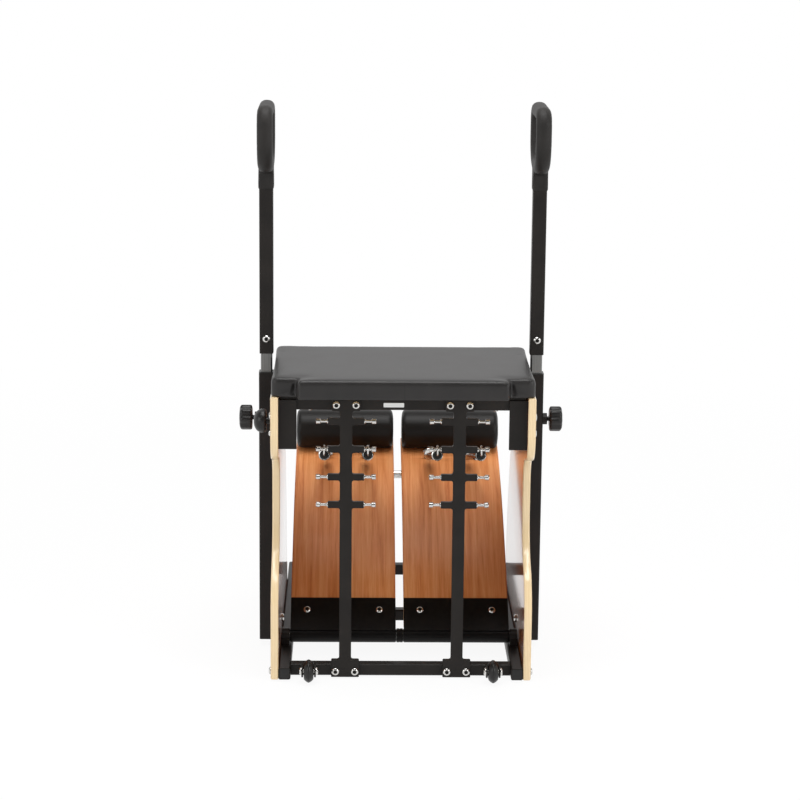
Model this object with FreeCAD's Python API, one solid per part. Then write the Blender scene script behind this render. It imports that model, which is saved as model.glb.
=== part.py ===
import FreeCAD, Part
import math
import os

from FreeCAD import Vector

# Pilates chair: two plywood sides, a padded seat, two sprung foot pedals and two handles, in mm.
# X runs across the chair, Y runs from the spring posts to the foot pads, Z is up.
# Y is measured from the rear edge of the side panels, and the whole is centred when it is saved.

# Clearances and shared fits
running_clearance = 0.05
hook_clearance = 0.3
slide_clearance = 0.15
weld_bite = 0.8
cut_overrun = 5.0

# Ground and base frame
foot_height = 3.0
foot_radius = 11.0
bar_side = 25.0
bar_wall = 2.0
bar_corner = 2.5
base_length = 779.0
# Rear face of the mid crossbar, as a share of base_length
mid_bar_share = 0.5135
end_cap_length = 10.0
end_cap_lip = 2.0
foot_inset = 30.0

# Side panels
chair_width = 540.0
panel_thickness = 16.0
panel_edge_bevel = 2.0
seat_underside = 602.0
panel_top_depth = 345.0
panel_foot_depth = 645.0
panel_toe_height = 40.0
front_bulge_depth = 546.0
waist_depth = 118.0
# Heights of the front bulge and of the waist's turns from foot to head, as shares of seat_underside
front_bulge_share = 0.56
waist_turn_shares = (0.224, 0.548, 0.6645, 0.864)

# Spring posts with their arms and pegs
post_row_depth = 27.0
tree_spacing = 232.0
tree_width = 25.0
tree_thickness = 10.0
tree_plate_width = 58.0
tree_foot_top = 41.0
tree_head_gap = 8.0
tree_fillet = 5.0
arm_reach = 37.0
arm_height = 13.5
arm_levels = 4
arm_top_drop = 53.0
arm_step = 58.5
spring_level = 2
peg_radius = 3.0
peg_neck = 15.5
peg_head_radius = 5.5
peg_head_length = 9.0

# Button-head bolts, and the flat sides of small turned pieces
bolt_head_radius = 8.2
bolt_head_height = 4.6
bolt_crown_share = 0.6
bolt_sides = 8
cap_sides = 12
nut_sides = 6
square_sides = 4
tree_bolt_offset = 20.0
tree_bolt_low = 15.5
tree_bolt_drop = 18.5
# Places of the bolts through the base rail, as shares of panel_foot_depth
rail_bolt_shares = (0.0326, 0.326, 0.966)
bracket_bolt_drops = (82.0, 48.0)
bracket_bolt_depth = 44.0
seat_bolt_offset = 190.0
seat_bolt_head_radius = 5.5
seat_bolt_head_height = 3.2

# Upper crossbar and its angle brackets
upper_bar_height = 31.0
bracket_face = 37.0
bracket_leaf = 6.0
bracket_side_leaf = 4.0
bracket_depth = 54.0
bracket_height = 103.0
bracket_gap = 9.0

# Seat
cushion_front = 347.0
cushion_rear_overhang = 24.0
cushion_notch_reach = 215.0
cushion_notch_front = 4.0
cushion_corner = 16.0
cushion_notch_corner = 6.0
cushion_thickness = 39.0
cushion_draw = 1.6
# Height above the seat underside and inset of the outline, as shares of thickness and of crown_reach
cushion_level_shares = (0.0, 0.4, 0.85, 1.0)
cushion_inset_shares = (0.07, 0.0, 0.1, 1.0)
crown_reach = 46.0
seat_board_thickness = 12.0
seat_board_inset = 9.0
seat_board_corner = 8.0

# Handle posts, tubes and grips
handle_depth = 245.0
handle_post_side = 32.0
handle_post_wall = 2.5
handle_post_corner = 2.5
handle_post_bottom = 15.0
handle_post_rise = 2.0
handle_tube_side = 29.0
handle_tube_length = 381.0
inner_tube_side = 24.0
inner_tube_wall = 2.0
inner_tube_reach = 274.0
inner_tube_show = 42.0
inner_tube_overlap = 120.0
tube_corner = 2.2
bush_length = 45.0
bush_lip = 2.0
handle_bolt_rise = 32.0
post_bolt_rise = 60.0
post_bolt_drop = 42.0
grip_sleeve_side = 33.0
grip_sleeve_corner = 3.5
grip_sleeve_cover = 33.0
grip_radius = 15.5
grip_sides = 12
loop_half_depth = 80.0
loop_rise = 20.0
loop_height = 112.5
loop_corner = 26.0
loop_corner_steps = 5

# Hand knobs
clamp_drop = 97.0
clamp_boss_radius = 12.5
clamp_boss_length = 9.5
knob_stud_radius = 5.0
knob_neck = 5.0
knob_radius = 27.0
knob_length = 28.0
knob_dome = 4.0
knob_crown_share = 0.8
knob_flutes = 8
knob_points_per_flute = 4
knob_flute_depth = 3.0
side_knob_depth = 62.0
side_knob_drop = 62.0
side_knob_radius = 25.0
side_knob_length = 26.0
# Distance from the knob's back and radius, as shares of its length and radius
side_knob_shares = ((0.0, 0.6), (0.22, 0.98), (0.5, 1.0), (0.8, 0.78), (1.0, 0.35))
side_knob_neck = 10.0
side_knob_neck_radius = 7.0

# Pedal hinge
hinge_depth = 168.0
hinge_height = 45.0
axle_radius = 8.0
hub_radius = 15.0
hub_sides = 20
bush_radius = 10.0
bush_flange_radius = 13.5
bush_flange = 1.5
bush_reach = 24.0
axle_block_width = 16.0
axle_block_depth = 36.0
axle_block_wall = 8.0

# Pedals
pedal_gap = 17.0
pedal_width = 225.0
pedal_thickness = 18.0
pedal_arc_radius = 1250.0
pedal_rise_angle = 42.0
pedal_start = 22.0
pedal_end = 645.0
pedal_edge_bevel = 2.0
plate_thickness = 4.0
plate_start = 2.0
plate_end = 84.0
plate_bolt_place = 52.0
plate_bolt_offset = 77.5
pad_place = 609.0
pad_radius = 45.0
pad_height = 41.0
pad_length = 222.0
pad_sides = 24
pad_edge_radius = 9.0
# Distance from the pad's end and drop of its edge, as shares of pad_edge_radius
pad_edge_shares = ((0.0, 1.0), (0.3, 0.3), (1.0, 0.0))
eye_place = 545.0
eye_pin_height = 23.0
eye_ring_radius = 10.5
eye_wire_radius = 3.0
eye_collar_radius = 9.0
eye_collar_height = 2.0
eye_nut_radius = 7.0
eye_nut_height = 6.0

# Rod that joins the two pedals
rod_place = 521.0
rod_radius = 9.0
guide_radius = 12.0
guide_length = 42.0
guide_flange = 4.0
guide_flange_half = 24.0
guide_near = 6.0
guide_far = 100.0
rod_right_reach = 60.0
rod_left_reach = 160.0
rod_knob_radius = 11.0
rod_knob_length = 10.0

# Springs, wound openly, with their hooks and caps
spring_wire_radius = 1.75
spring_coil_radius = 9.0
spring_turns = 6
spring_end_bend = 4.0
spring_cap_radius = 12.0
spring_cap_length = 10.0
spring_cap_gap = 24.0
hook_wire_radius = 2.0
hook_radius = 9.0
hook_slack = 6.4

# Transport wheels
wheel_place = 191.0
wheel_radius = 24.0
wheel_width = 21.0
wheel_sides = 24
wheel_tread_drop = 6.0
# Distance in from the wheel's side and drop of its tread, as shares of its width and of wheel_tread_drop
wheel_tread_shares = ((0.0, 1.0), (0.12, 0.4), (0.32, 0.0))
wheel_depth = -12.0
wheel_height = 26.0
wheel_axle_radius = 4.0
wheel_side_gap = 1.0
ear_thickness = 3.5
ear_height = 26.0
ear_plate = 4.0

# Places worked out from the sizes above
half_width = chair_width / 2
panel_inner = half_width - panel_thickness
rail_inner = panel_inner - bar_side
bar_top = foot_height + bar_side
front_bulge_height = front_bulge_share * seat_underside
waist_foot, waist_low, waist_high, waist_head = [share * seat_underside for share in waist_turn_shares]
upper_bar_low = seat_underside - upper_bar_height
bracket_high = seat_underside - bracket_gap
bracket_low = bracket_high - bracket_height
bracket_bolt_heights = [seat_underside - drop for drop in bracket_bolt_drops]
tree_head_high = seat_underside - tree_head_gap
tree_head_low = upper_bar_low
tree_bolt_high = seat_underside - tree_bolt_drop
arm_lowest = seat_underside - arm_top_drop - arm_step * (arm_levels - 1)
cushion_top = seat_underside + cushion_thickness
handle_post_top = seat_underside + handle_post_rise
handle_tube_bottom = handle_post_top + inner_tube_show
handle_tube_top = handle_tube_bottom + handle_tube_length
inner_tube_bottom = handle_post_top - inner_tube_reach
handle_bolt_height = handle_tube_bottom + handle_bolt_rise
post_bolt_heights = (post_bolt_rise, seat_underside - post_bolt_drop)
grip_sleeve_bottom = handle_tube_top - grip_sleeve_cover
loop_low = handle_tube_top + loop_rise
loop_high = loop_low + loop_height
clamp_height = seat_underside - clamp_drop
side_knob_height = seat_underside - side_knob_drop
tree_centre = tree_spacing / 2
tree_front = post_row_depth - tree_thickness
peg_depth = post_row_depth - tree_thickness / 2
spring_peg_height = arm_lowest + arm_step * spring_level
spring_offset = arm_reach + peg_neck / 2
handle_place = half_width + handle_post_side / 2
pedal_centre = (pedal_gap + pedal_width) / 2
front_bar_place = base_length - bar_side
mid_bar_place = mid_bar_share * base_length
chair_middle = (wheel_depth - wheel_radius + base_length) / 2

ACROSS = Vector(1, 0, 0)
ALONG = Vector(0, 1, 0)
UP = Vector(0, 0, 1)
SIDES = (("left", -1), ("right", 1))


def save(name, solids):
    """Write the solids of one named piece, with the chair centred over the origin."""
    shape = Part.makeCompound(solids) if len(solids) > 1 else solids[0].copy()
    shape.translate(Vector(0, -chair_middle, 0))
    shape.exportStep(os.path.join("parts", name + ".step"))


def mirrored(shape):
    """The same piece on the other side of the chair."""
    return shape.mirror(Vector(0, 0, 0), ACROSS)


def sided(shape, sign):
    """A piece drawn on the right side, moved to the side that sign names."""
    return shape if sign > 0 else mirrored(shape)


def box(low, high):
    """Block between two opposite corners."""
    size = high.sub(low)
    return Part.makeBox(size.x, size.y, size.z, low)


def flat_face(corners):
    """Flat face inside a ring of corners."""
    return Part.Face(Part.makePolygon(corners + corners[:1]))


def ring_of(centre, axis, radius, sides):
    """Corners of a regular outline square to axis, from the Z side, or from the X side of an upright axis."""
    u = UP if abs(axis.z) < abs(axis.x) + abs(axis.y) else ACROSS
    u = (u - axis * u.dot(axis)).normalize()
    v = axis.cross(u)
    corners = []
    for i in range(sides):
        turn = 2 * math.pi * i / sides
        corners.append(centre + u * (radius * math.cos(turn)) + v * (radius * math.sin(turn)))
    return corners


def skinned(rings):
    """Solid with flat sides through rings of equally many corners."""
    faces = [flat_face(rings[0]), flat_face(rings[-1])]
    for low, high in zip(rings, rings[1:]):
        for i in range(len(low)):
            faces.append(flat_face([low[i - 1], low[i], high[i], high[i - 1]]))
    return Part.Solid(Part.Shell(faces))


def prism(start, axis, radius, length, sides):
    """Small turned piece with a few flat sides."""
    return flat_face(ring_of(start, axis, radius, sides)).extrude(axis * length)


def turned(start, axis, steps, sides):
    """Turned piece with flat sides, through steps of distance and radius along axis."""
    return skinned([ring_of(start + axis * reach, axis, radius, sides) for reach, radius in steps])


def bearing_hole(start, axis, radius, length):
    """Cut whose flats clear a shaft of this radius, and which runs past both ends of what it cuts."""
    clear = (radius + running_clearance) / math.cos(math.pi / cap_sides)
    return prism(start - axis * cut_overrun, axis, clear, length + 2 * cut_overrun, cap_sides)


def solid_of(shape):
    """The one solid of a fused shape, with the seams between flush faces taken out."""
    return shape.removeSplitter().Solids[0]


def bevelled_face(centre, u, v, width, height, corner):
    """Rectangle with its corners cut off, centred, spanned by the unit vectors u and v."""
    points = []
    for a, b, turn in ((1, -1, True), (1, 1, False), (-1, 1, True), (-1, -1, False)):
        tip = centre + u * (a * width / 2) + v * (b * height / 2)
        pair = [tip - u * (a * corner), tip - v * (b * corner)]
        points += pair if turn else pair[::-1]
    return flat_face(points)


def tube(centre, axis, u, v, width, height, corner, wall, length):
    """Straight rectangular tube that starts at centre and runs along axis."""
    outer = bevelled_face(centre, u, v, width, height, corner).extrude(axis * length)
    bore_u = u * (width / 2 - wall)
    bore_v = v * (height / 2 - wall)
    start = centre - axis * cut_overrun
    corners = [start + bore_u * a + bore_v * b for a, b in ((1, 1), (-1, 1), (-1, -1), (1, -1))]
    return outer.cut(flat_face(corners).extrude(axis * (length + 2 * cut_overrun)))


def bolt_head(seat, axis, radius=bolt_head_radius, height=bolt_head_height):
    """Low rounded bolt head that stands on seat, pointing out along axis."""
    return turned(seat, axis, [(0, radius), (height, radius * bolt_crown_share)], bolt_sides)


def s_curve(start, end):
    """Two equal arcs in the YZ plane, upright at both ends."""
    middle = (start + end) * 0.5
    run = middle.y - start.y
    rise = middle.z - start.z
    turn = 2 * math.atan2(abs(run), abs(rise))
    radius = (run ** 2 + rise ** 2) / (2 * abs(run))
    side = math.copysign(radius * (1 - math.cos(turn / 2)), run)
    climb = math.copysign(radius * math.sin(turn / 2), rise)
    first = Part.Arc(start, start + Vector(0, side, climb), middle)
    second = Part.Arc(middle, end - Vector(0, side, climb), end)
    return [first.toShape(), second.toShape()]


def line(start, end):
    return Part.LineSegment(start, end).toShape()


def make_side_panel():
    """Right plywood side: a waisted rear edge, a full front edge and a level top."""
    x = panel_inner
    heel = Vector(x, 0, foot_height)
    toe = Vector(x, panel_foot_depth, foot_height)
    toe_top = Vector(x, panel_foot_depth, panel_toe_height)
    bulge = Vector(x, front_bulge_depth, front_bulge_height)
    top_front = Vector(x, panel_top_depth, seat_underside)
    top_rear = Vector(x, 0, seat_underside)
    head = Vector(x, 0, waist_head)
    high = Vector(x, waist_depth, waist_high)
    low = Vector(x, waist_depth, waist_low)
    foot = Vector(x, 0, waist_foot)
    edges = [line(heel, toe), line(toe, toe_top), Part.Arc(toe_top, bulge, top_front).toShape()]
    edges += [line(top_front, top_rear), line(top_rear, head)]
    edges += s_curve(head, high)
    edges.append(line(high, low))
    edges += s_curve(low, foot)
    edges.append(line(foot, heel))
    panel = Part.Face(Part.Wire(edges)).extrude(ACROSS * panel_thickness)
    rims = [e for e in panel.Edges if abs(e.BoundBox.XLength) < panel_thickness / 2]
    return panel.makeChamfer(panel_edge_bevel, rims).Solids[0]


def rail_bolt_places():
    """Heads on the panel's outer face, level with the middle of the base rail."""
    height = foot_height + bar_side / 2
    return [Vector(half_width, share * panel_foot_depth, height) for share in rail_bolt_shares]


def bracket_bolt_places():
    return [Vector(half_width, bracket_bolt_depth, height) for height in bracket_bolt_heights]


def post_bolt_places():
    """Heads on the panel's inner face, holding the handle post outside."""
    return [Vector(panel_inner, handle_depth, height) for height in post_bolt_heights]


def make_base_rail():
    """Right base rail, along the foot of the panel and on to the front bar."""
    centre = Vector(panel_inner - bar_side / 2, 0, foot_height + bar_side / 2)
    return tube(centre, ALONG, ACROSS, UP, bar_side, bar_side, bar_corner, bar_wall, base_length)


def make_end_caps():
    """Plastic plugs pressed into the four open rail ends."""
    caps = []
    inner = bar_side - 2 * bar_wall - 2 * running_clearance
    for name, sign in SIDES:
        for start, axis in ((0, ALONG), (base_length, -ALONG)):
            centre = Vector(sign * (panel_inner - bar_side / 2), start, foot_height + bar_side / 2)
            plug = bevelled_face(centre, ACROSS, UP, inner, inner, end_cap_lip / 2)
            plug = plug.extrude(axis * end_cap_length)
            hollow = inner - 2 * end_cap_lip
            pit = bevelled_face(centre + axis * end_cap_lip, ACROSS, UP, hollow, hollow, end_cap_lip / 2)
            caps.append(plug.cut(pit.extrude(axis * end_cap_length)).Solids[0])
    return caps


def make_crossbar(depth, low, height, reach):
    """Tube across the chair with its rear face at depth and its underside at low."""
    centre = Vector(-reach, depth + bar_side / 2, low + height / 2)
    return tube(centre, ACROSS, ALONG, UP, bar_side, height, bar_corner, bar_wall, 2 * reach)


def make_upper_crossbar():
    reach = panel_inner - bracket_side_leaf
    return make_crossbar(post_row_depth, upper_bar_low, seat_underside - upper_bar_low, reach)


def tree_bolt_places(height):
    """Heads on the rear faces of the spring posts, two at each end of a post."""
    places = []
    for centre in (-tree_centre, tree_centre):
        for side in (-tree_bolt_offset, tree_bolt_offset):
            places.append(Vector(centre + side, tree_front, height))
    return places


def seat_bolt_places():
    """Heads under the upper crossbar, which hold the seat board down."""
    depth = post_row_depth + bar_side / 2
    return [Vector(x, depth, upper_bar_low) for x in (-seat_bolt_offset, seat_bolt_offset)]


def make_seat_bracket():
    """Right angle bracket: one leaf faces the rear, the other lies on the panel."""
    rear_leaf = box(Vector(panel_inner - bracket_face, post_row_depth - bracket_leaf, bracket_low),
                    Vector(panel_inner, post_row_depth, bracket_high))
    side_leaf = box(Vector(panel_inner - bracket_side_leaf, post_row_depth - bracket_leaf, bracket_low),
                    Vector(panel_inner, post_row_depth - bracket_leaf + bracket_depth, bracket_high))
    return solid_of(rear_leaf.fuse(side_leaf))


def corner_fillet(corner, toward_x, toward_z, radius):
    """Filler for an inner corner of a spring post, as thick as the post."""
    a = corner + Vector(toward_x * radius, 0, 0)
    b = corner + Vector(0, 0, toward_z * radius)
    pinch = radius * (1 - math.cos(math.pi / 4))
    middle = corner + Vector(toward_x * pinch, 0, toward_z * pinch)
    return flat_face([corner, a, middle, b]).extrude(ALONG * tree_thickness)


def make_spring_post(centre):
    """Flat post with a foot, a head and four pairs of arms, filleted at their roots."""
    def slab(half, low, high):
        return box(Vector(centre - half, tree_front, low), Vector(centre + half, post_row_depth, high))

    half = tree_width / 2
    pieces = [slab(tree_plate_width / 2, foot_height, tree_foot_top)]
    pieces.append(slab(tree_plate_width / 2, tree_head_low, tree_head_high))
    corners = [(tree_foot_top, 1), (tree_head_low, -1)]
    for i in range(arm_levels):
        height = arm_lowest + i * arm_step
        pieces.append(slab(arm_reach, height - arm_height / 2, height + arm_height / 2))
        corners.append((height - arm_height / 2, -1))
        corners.append((height + arm_height / 2, 1))
    for height, toward_z in corners:
        for side in (-1, 1):
            corner = Vector(centre + side * half, tree_front, height)
            pieces.append(corner_fillet(corner, side, toward_z, tree_fillet))
    return solid_of(slab(half, foot_height, tree_head_high).multiFuse(pieces))


def peg_places(centre):
    """Where each peg leaves its arm, and which way it points."""
    places = []
    for i in range(arm_levels):
        for side in (-1, 1):
            start = Vector(centre + side * arm_reach, peg_depth, arm_lowest + i * arm_step)
            places.append((start, ACROSS * side))
    return places


def make_peg(start, axis):
    """Turned hook peg: a slim neck and a thicker head."""
    neck = prism(start, axis, peg_radius, peg_neck, nut_sides)
    head = prism(start + axis * peg_neck, axis, peg_head_radius, peg_head_length, nut_sides)
    return solid_of(neck.fuse(head))


def make_feet():
    """Rubber pads under the rails."""
    feet = []
    for name, sign in SIDES:
        for depth in (foot_inset, base_length / 2, base_length - foot_inset):
            start = Vector(sign * (panel_inner - bar_side / 2), depth, 0)
            feet.append(prism(start, UP, foot_radius, foot_height, bolt_sides))
    return feet


def cushion_outline(inset, height):
    """Plan of the seat at one height: rear corners stepped forward, long sides drawn in."""
    reach = half_width - inset
    front = cushion_front - inset
    notch = cushion_notch_front + inset
    tongue = cushion_notch_reach - inset
    rear = -cushion_rear_overhang + inset
    big = max(cushion_corner - inset, cushion_notch_corner)
    small = cushion_notch_corner
    corners = [(tongue, rear, small), (tongue, notch, 0), (reach, notch, big), (reach, front, big)]
    corners += [(-x, y, r) for x, y, r in reversed(corners)]
    points = [(Vector(x, y, height), r) for x, y, r in corners]
    turns = []
    for i in range(len(points)):
        here, radius = points[i]
        before = (points[i - 1][0] - here).normalize()
        after = (points[(i + 1) % len(points)][0] - here).normalize()
        middle = here + (before + after) * (radius * (1 - math.sqrt(0.5)))
        turns.append((here + before * radius, middle, here + after * radius, radius))
    edges = []
    for i in range(len(turns)):
        enter, middle, leave, radius = turns[i]
        edges.append(drawn_edge(turns[i - 1][2], enter))
        if radius > 0:
            edges.append(Part.Arc(enter, middle, leave).toShape())
    return Part.Wire(edges)


def drawn_edge(start, end):
    """Long sides of the seat bow in between their corners; short ones stay straight."""
    span = end - start
    if span.Length < cushion_notch_reach:
        return line(start, end)
    middle = (start + end) * 0.5
    inward = Vector(0, cushion_front / 2, middle.z) - middle
    inward = inward - span * (inward.dot(span) / span.dot(span))
    return Part.Arc(start, middle + inward.normalize() * cushion_draw, end).toShape()


def make_seat_board():
    low = -cushion_rear_overhang + seat_board_inset
    high = cushion_front - seat_board_inset
    tongue = cushion_notch_reach - seat_board_inset
    notch = cushion_notch_front + seat_board_inset
    reach = half_width - seat_board_inset

    def slab(half, rear):
        centre = Vector(0, (rear + high) / 2, seat_underside)
        plan = bevelled_face(centre, ACROSS, ALONG, 2 * half, high - rear, seat_board_corner)
        return plan.extrude(UP * seat_board_thickness)

    return solid_of(slab(reach, notch).fuse(slab(tongue, low)))


def make_seat_cushion(board):
    """Crowned pad whose cover wraps down round the seat board."""
    thickness = cushion_top - seat_underside
    sections = []
    for level, inset in zip(cushion_level_shares, cushion_inset_shares):
        sections.append(cushion_outline(inset * crown_reach, seat_underside + level * thickness))
    return Part.makeLoft(sections, True, True).cut(board).Solids[0]


def make_handle_post():
    """Right square post on the panel's outer face, with the boss of its clamp knob."""
    centre = Vector(handle_place, handle_depth, handle_post_bottom)
    height = handle_post_top - handle_post_bottom
    post = tube(centre, UP, ACROSS, ALONG, handle_post_side, handle_post_side, handle_post_corner,
                handle_post_wall, height)
    face = Vector(half_width + handle_post_side, handle_depth, clamp_height)
    root = face - ACROSS * weld_bite
    boss = prism(root, ACROSS, clamp_boss_radius, clamp_boss_length + weld_bite, cap_sides)
    wall = face - ACROSS * handle_post_wall
    hole = bearing_hole(wall, ACROSS, knob_stud_radius, handle_post_wall + clamp_boss_length)
    return post.fuse(boss).cut(hole).Solids[0]


def make_post_bush():
    """Right plastic guide in the mouth of the post, with a lip on its rim."""
    inner = inner_tube_side + 2 * slide_clearance
    outer = handle_post_side - 2 * handle_post_wall - 2 * running_clearance
    start = Vector(handle_place, handle_depth, handle_post_top - bush_length)
    wall = (outer - inner) / 2
    sleeve = tube(start, UP, ACROSS, ALONG, outer, outer, tube_corner, wall, bush_length + bush_lip)
    rim = Vector(handle_place, handle_depth, handle_post_top)
    lip = tube(rim, UP, ACROSS, ALONG, handle_post_side, handle_post_side, handle_post_corner,
               (handle_post_side - inner) / 2, bush_lip)
    return solid_of(sleeve.fuse(lip))


def make_inner_tube():
    centre = Vector(handle_place, handle_depth, inner_tube_bottom)
    length = handle_tube_bottom + inner_tube_overlap - inner_tube_bottom
    side = inner_tube_side
    return tube(centre, UP, ACROSS, ALONG, side, side, tube_corner, inner_tube_wall, length)


def make_handle_tube():
    centre = Vector(handle_place, handle_depth, handle_tube_bottom)
    wall = (handle_tube_side - inner_tube_side) / 2 - running_clearance
    length = handle_tube_top - handle_tube_bottom
    return tube(centre, UP, ACROSS, ALONG, handle_tube_side, handle_tube_side, tube_corner, wall, length)


def make_handle_bolt():
    seat = Vector(handle_place, handle_depth - handle_tube_side / 2, handle_bolt_height)
    return bolt_head(seat, -ALONG)


def loop_path(origin):
    """Centre line of the grip's loop, round its four corners."""
    corners = ((1, loop_low, 1), (1, loop_high, -1), (-1, loop_high, -1), (-1, loop_low, 1))
    path = []
    for i, (side, height, inward) in enumerate(corners):
        depth = side * (loop_half_depth - loop_corner)
        middle = origin + Vector(0, depth, height + inward * loop_corner)
        for k in range(loop_corner_steps + 1):
            turn = math.pi / 2 * (i + k / loop_corner_steps)
            path.append(middle + Vector(0, loop_corner * math.sin(turn), -loop_corner * math.cos(turn)))
    return path


def mitred_loop(path, radius, sides):
    """Bar of many sides along a closed line in the YZ plane, mitred at each point."""
    rings = []
    for k in range(len(path)):
        before = (path[k] - path[k - 1]).normalize()
        after = (path[(k + 1) % len(path)] - path[k]).normalize()
        way = (before + after).normalize()
        out = way.cross(ACROSS) * (radius / way.dot(after))
        turns = [2 * math.pi * i / sides for i in range(sides)]
        rings.append([path[k] + ACROSS * (radius * math.cos(t)) + out * math.sin(t) for t in turns])
    faces = []
    for k in range(len(rings)):
        low, high = rings[k - 1], rings[k]
        for i in range(sides):
            faces.append(flat_face([low[i - 1], low[i], high[i], high[i - 1]]))
    return Part.Solid(Part.Shell(faces))


def make_grip():
    """Right moulded grip: a square sleeve that opens into a loop along Y."""
    origin = Vector(handle_place, handle_depth, 0)
    loop = mitred_loop(loop_path(origin), grip_radius, grip_sides)
    foot = origin + UP * grip_sleeve_bottom
    sleeve = bevelled_face(foot, ACROSS, ALONG, grip_sleeve_side, grip_sleeve_side, grip_sleeve_corner)
    grip = solid_of(loop.fuse(sleeve.extrude(UP * (loop_low - grip_sleeve_bottom))))
    bore = handle_tube_side + 2 * running_clearance
    socket = bevelled_face(foot - UP * cut_overrun, ACROSS, ALONG, bore, bore, tube_corner)
    return grip.cut(socket.extrude(UP * (handle_tube_top - grip_sleeve_bottom + cut_overrun))).Solids[0]


def fluted_ring(centre, radius):
    """Corners of a round outline across X with a shallow flute between each pair of lobes."""
    count = knob_flutes * knob_points_per_flute
    corners = []
    for i in range(count):
        turn = 2 * math.pi * i / count
        reach = radius - knob_flute_depth * (1 - math.cos(knob_flutes * turn)) / 2
        corners.append(centre + Vector(0, reach * math.cos(turn), reach * math.sin(turn)))
    return corners


def make_clamp_knob():
    """Right clamp knob, fluted and slightly domed, with the stud that presses on the inner tube."""
    tip = Vector(handle_place + inner_tube_side / 2 + hook_clearance, handle_depth, clamp_height)
    face = Vector(half_width + handle_post_side + clamp_boss_length + knob_neck, handle_depth, clamp_height)
    stud = prism(tip, ACROSS, knob_stud_radius, face.x - tip.x + knob_length / 2, cap_sides)
    back = fluted_ring(face, knob_radius)
    shoulder = fluted_ring(face + ACROSS * (knob_length - knob_dome), knob_radius)
    crown = [face + ACROSS * knob_length + (corner - face) * knob_crown_share for corner in back]
    return solid_of(skinned([back, shoulder, crown]).fuse(stud))


def make_side_knob():
    """Mushroom knob on the left panel, on a stud that reaches through it."""
    face = Vector(half_width + side_knob_neck, side_knob_depth, side_knob_height)
    steps = [(a * side_knob_length, b * side_knob_radius) for a, b in side_knob_shares]
    wall = Vector(half_width + hook_clearance, side_knob_depth, side_knob_height)
    neck = prism(wall, ACROSS, side_knob_neck_radius, side_knob_neck, cap_sides)
    foot = wall - ACROSS * panel_thickness
    stud = prism(foot, ACROSS, knob_stud_radius, panel_thickness + side_knob_neck, cap_sides)
    return mirrored(solid_of(turned(face, ACROSS, steps, hub_sides).fuse(neck).fuse(stud)))


def side_knob_hole():
    start = Vector(-half_width, side_knob_depth, side_knob_height)
    return bearing_hole(start, ACROSS, knob_stud_radius, panel_thickness)


# The pedal's upper face is an arc in the YZ plane, tangent to the weld on the hinge hub
rise = math.radians(pedal_rise_angle)
pedal_normal = Vector(0, -math.sin(rise), math.cos(rise))
hinge_point = Vector(0, hinge_depth, hinge_height)
arc_root = hinge_point + pedal_normal * (hub_radius - weld_bite)
arc_centre = arc_root - pedal_normal * pedal_arc_radius


def pedal_point(place, lift):
    """Point at a length along the pedal's upper face and a height above it."""
    turn = rise - place / pedal_arc_radius
    normal = Vector(0, -math.sin(turn), math.cos(turn))
    return arc_centre + normal * (pedal_arc_radius + lift)


def pedal_up(place):
    return (pedal_point(place, pedal_arc_radius) - pedal_point(place, 0)).normalize()


def arc_slab(start, end, low, high, x0, x1):
    """Curved slab that follows the pedal's arc between two lengths and two heights."""
    middle = (start + end) / 2
    top = Part.Arc(pedal_point(start, high), pedal_point(middle, high), pedal_point(end, high)).toShape()
    under = Part.Arc(pedal_point(end, low), pedal_point(middle, low), pedal_point(start, low)).toShape()
    edges = [top, line(pedal_point(end, high), pedal_point(end, low)), under]
    edges.append(line(pedal_point(start, low), pedal_point(start, high)))
    face = Part.Face(Part.Wire(edges))
    face.translate(ACROSS * x0)
    return face.extrude(ACROSS * (x1 - x0))


pedal_inner = pedal_gap / 2
pedal_outer = pedal_gap / 2 + pedal_width
spring_places = (tree_centre - spring_offset, tree_centre + spring_offset)
plate_bolt_places = (pedal_centre - plate_bolt_offset, pedal_centre + plate_bolt_offset)


def make_pedal_board():
    """Right bent plywood board, with eased edges and holes for its spring eyes."""
    board = arc_slab(pedal_start, pedal_end, -pedal_thickness, 0, pedal_inner, pedal_outer)
    board = board.makeChamfer(pedal_edge_bevel, [e for e in board.Edges if e.Length > pedal_width / 2])
    for x in spring_places:
        start = pedal_point(eye_place, -pedal_thickness) + ACROSS * x
        board = board.cut(bearing_hole(start, pedal_up(eye_place), eye_wire_radius, pedal_thickness))
    return board.Solids[0]


def make_hinge_plate():
    """Right steel plate over the board's foot, welded to the hub that turns on the axle."""
    plate = arc_slab(plate_start, plate_end, 0, plate_thickness, pedal_inner, pedal_outer)
    end = hinge_point + ACROSS * pedal_inner
    hub = prism(end, ACROSS, hub_radius, pedal_width, hub_sides)
    return solid_of(plate.fuse(hub)).cut(bearing_hole(end, ACROSS, bush_radius, pedal_width)).Solids[0]


def make_hinge_bushes():
    """Flanged bearing bushes in the two ends of the right hub."""
    bushes = []
    for x, axis in ((pedal_inner, ACROSS), (pedal_outer, -ACROSS)):
        end = hinge_point + ACROSS * x
        body = prism(end, axis, bush_radius, bush_reach, cap_sides)
        flange = prism(end - axis * bush_flange, axis, bush_flange_radius, bush_flange, cap_sides)
        bore = bearing_hole(end - axis * bush_flange, axis, axle_radius, bush_reach + bush_flange)
        bushes.append(solid_of(body.fuse(flange)).cut(bore).Solids[0])
    return bushes


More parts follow.
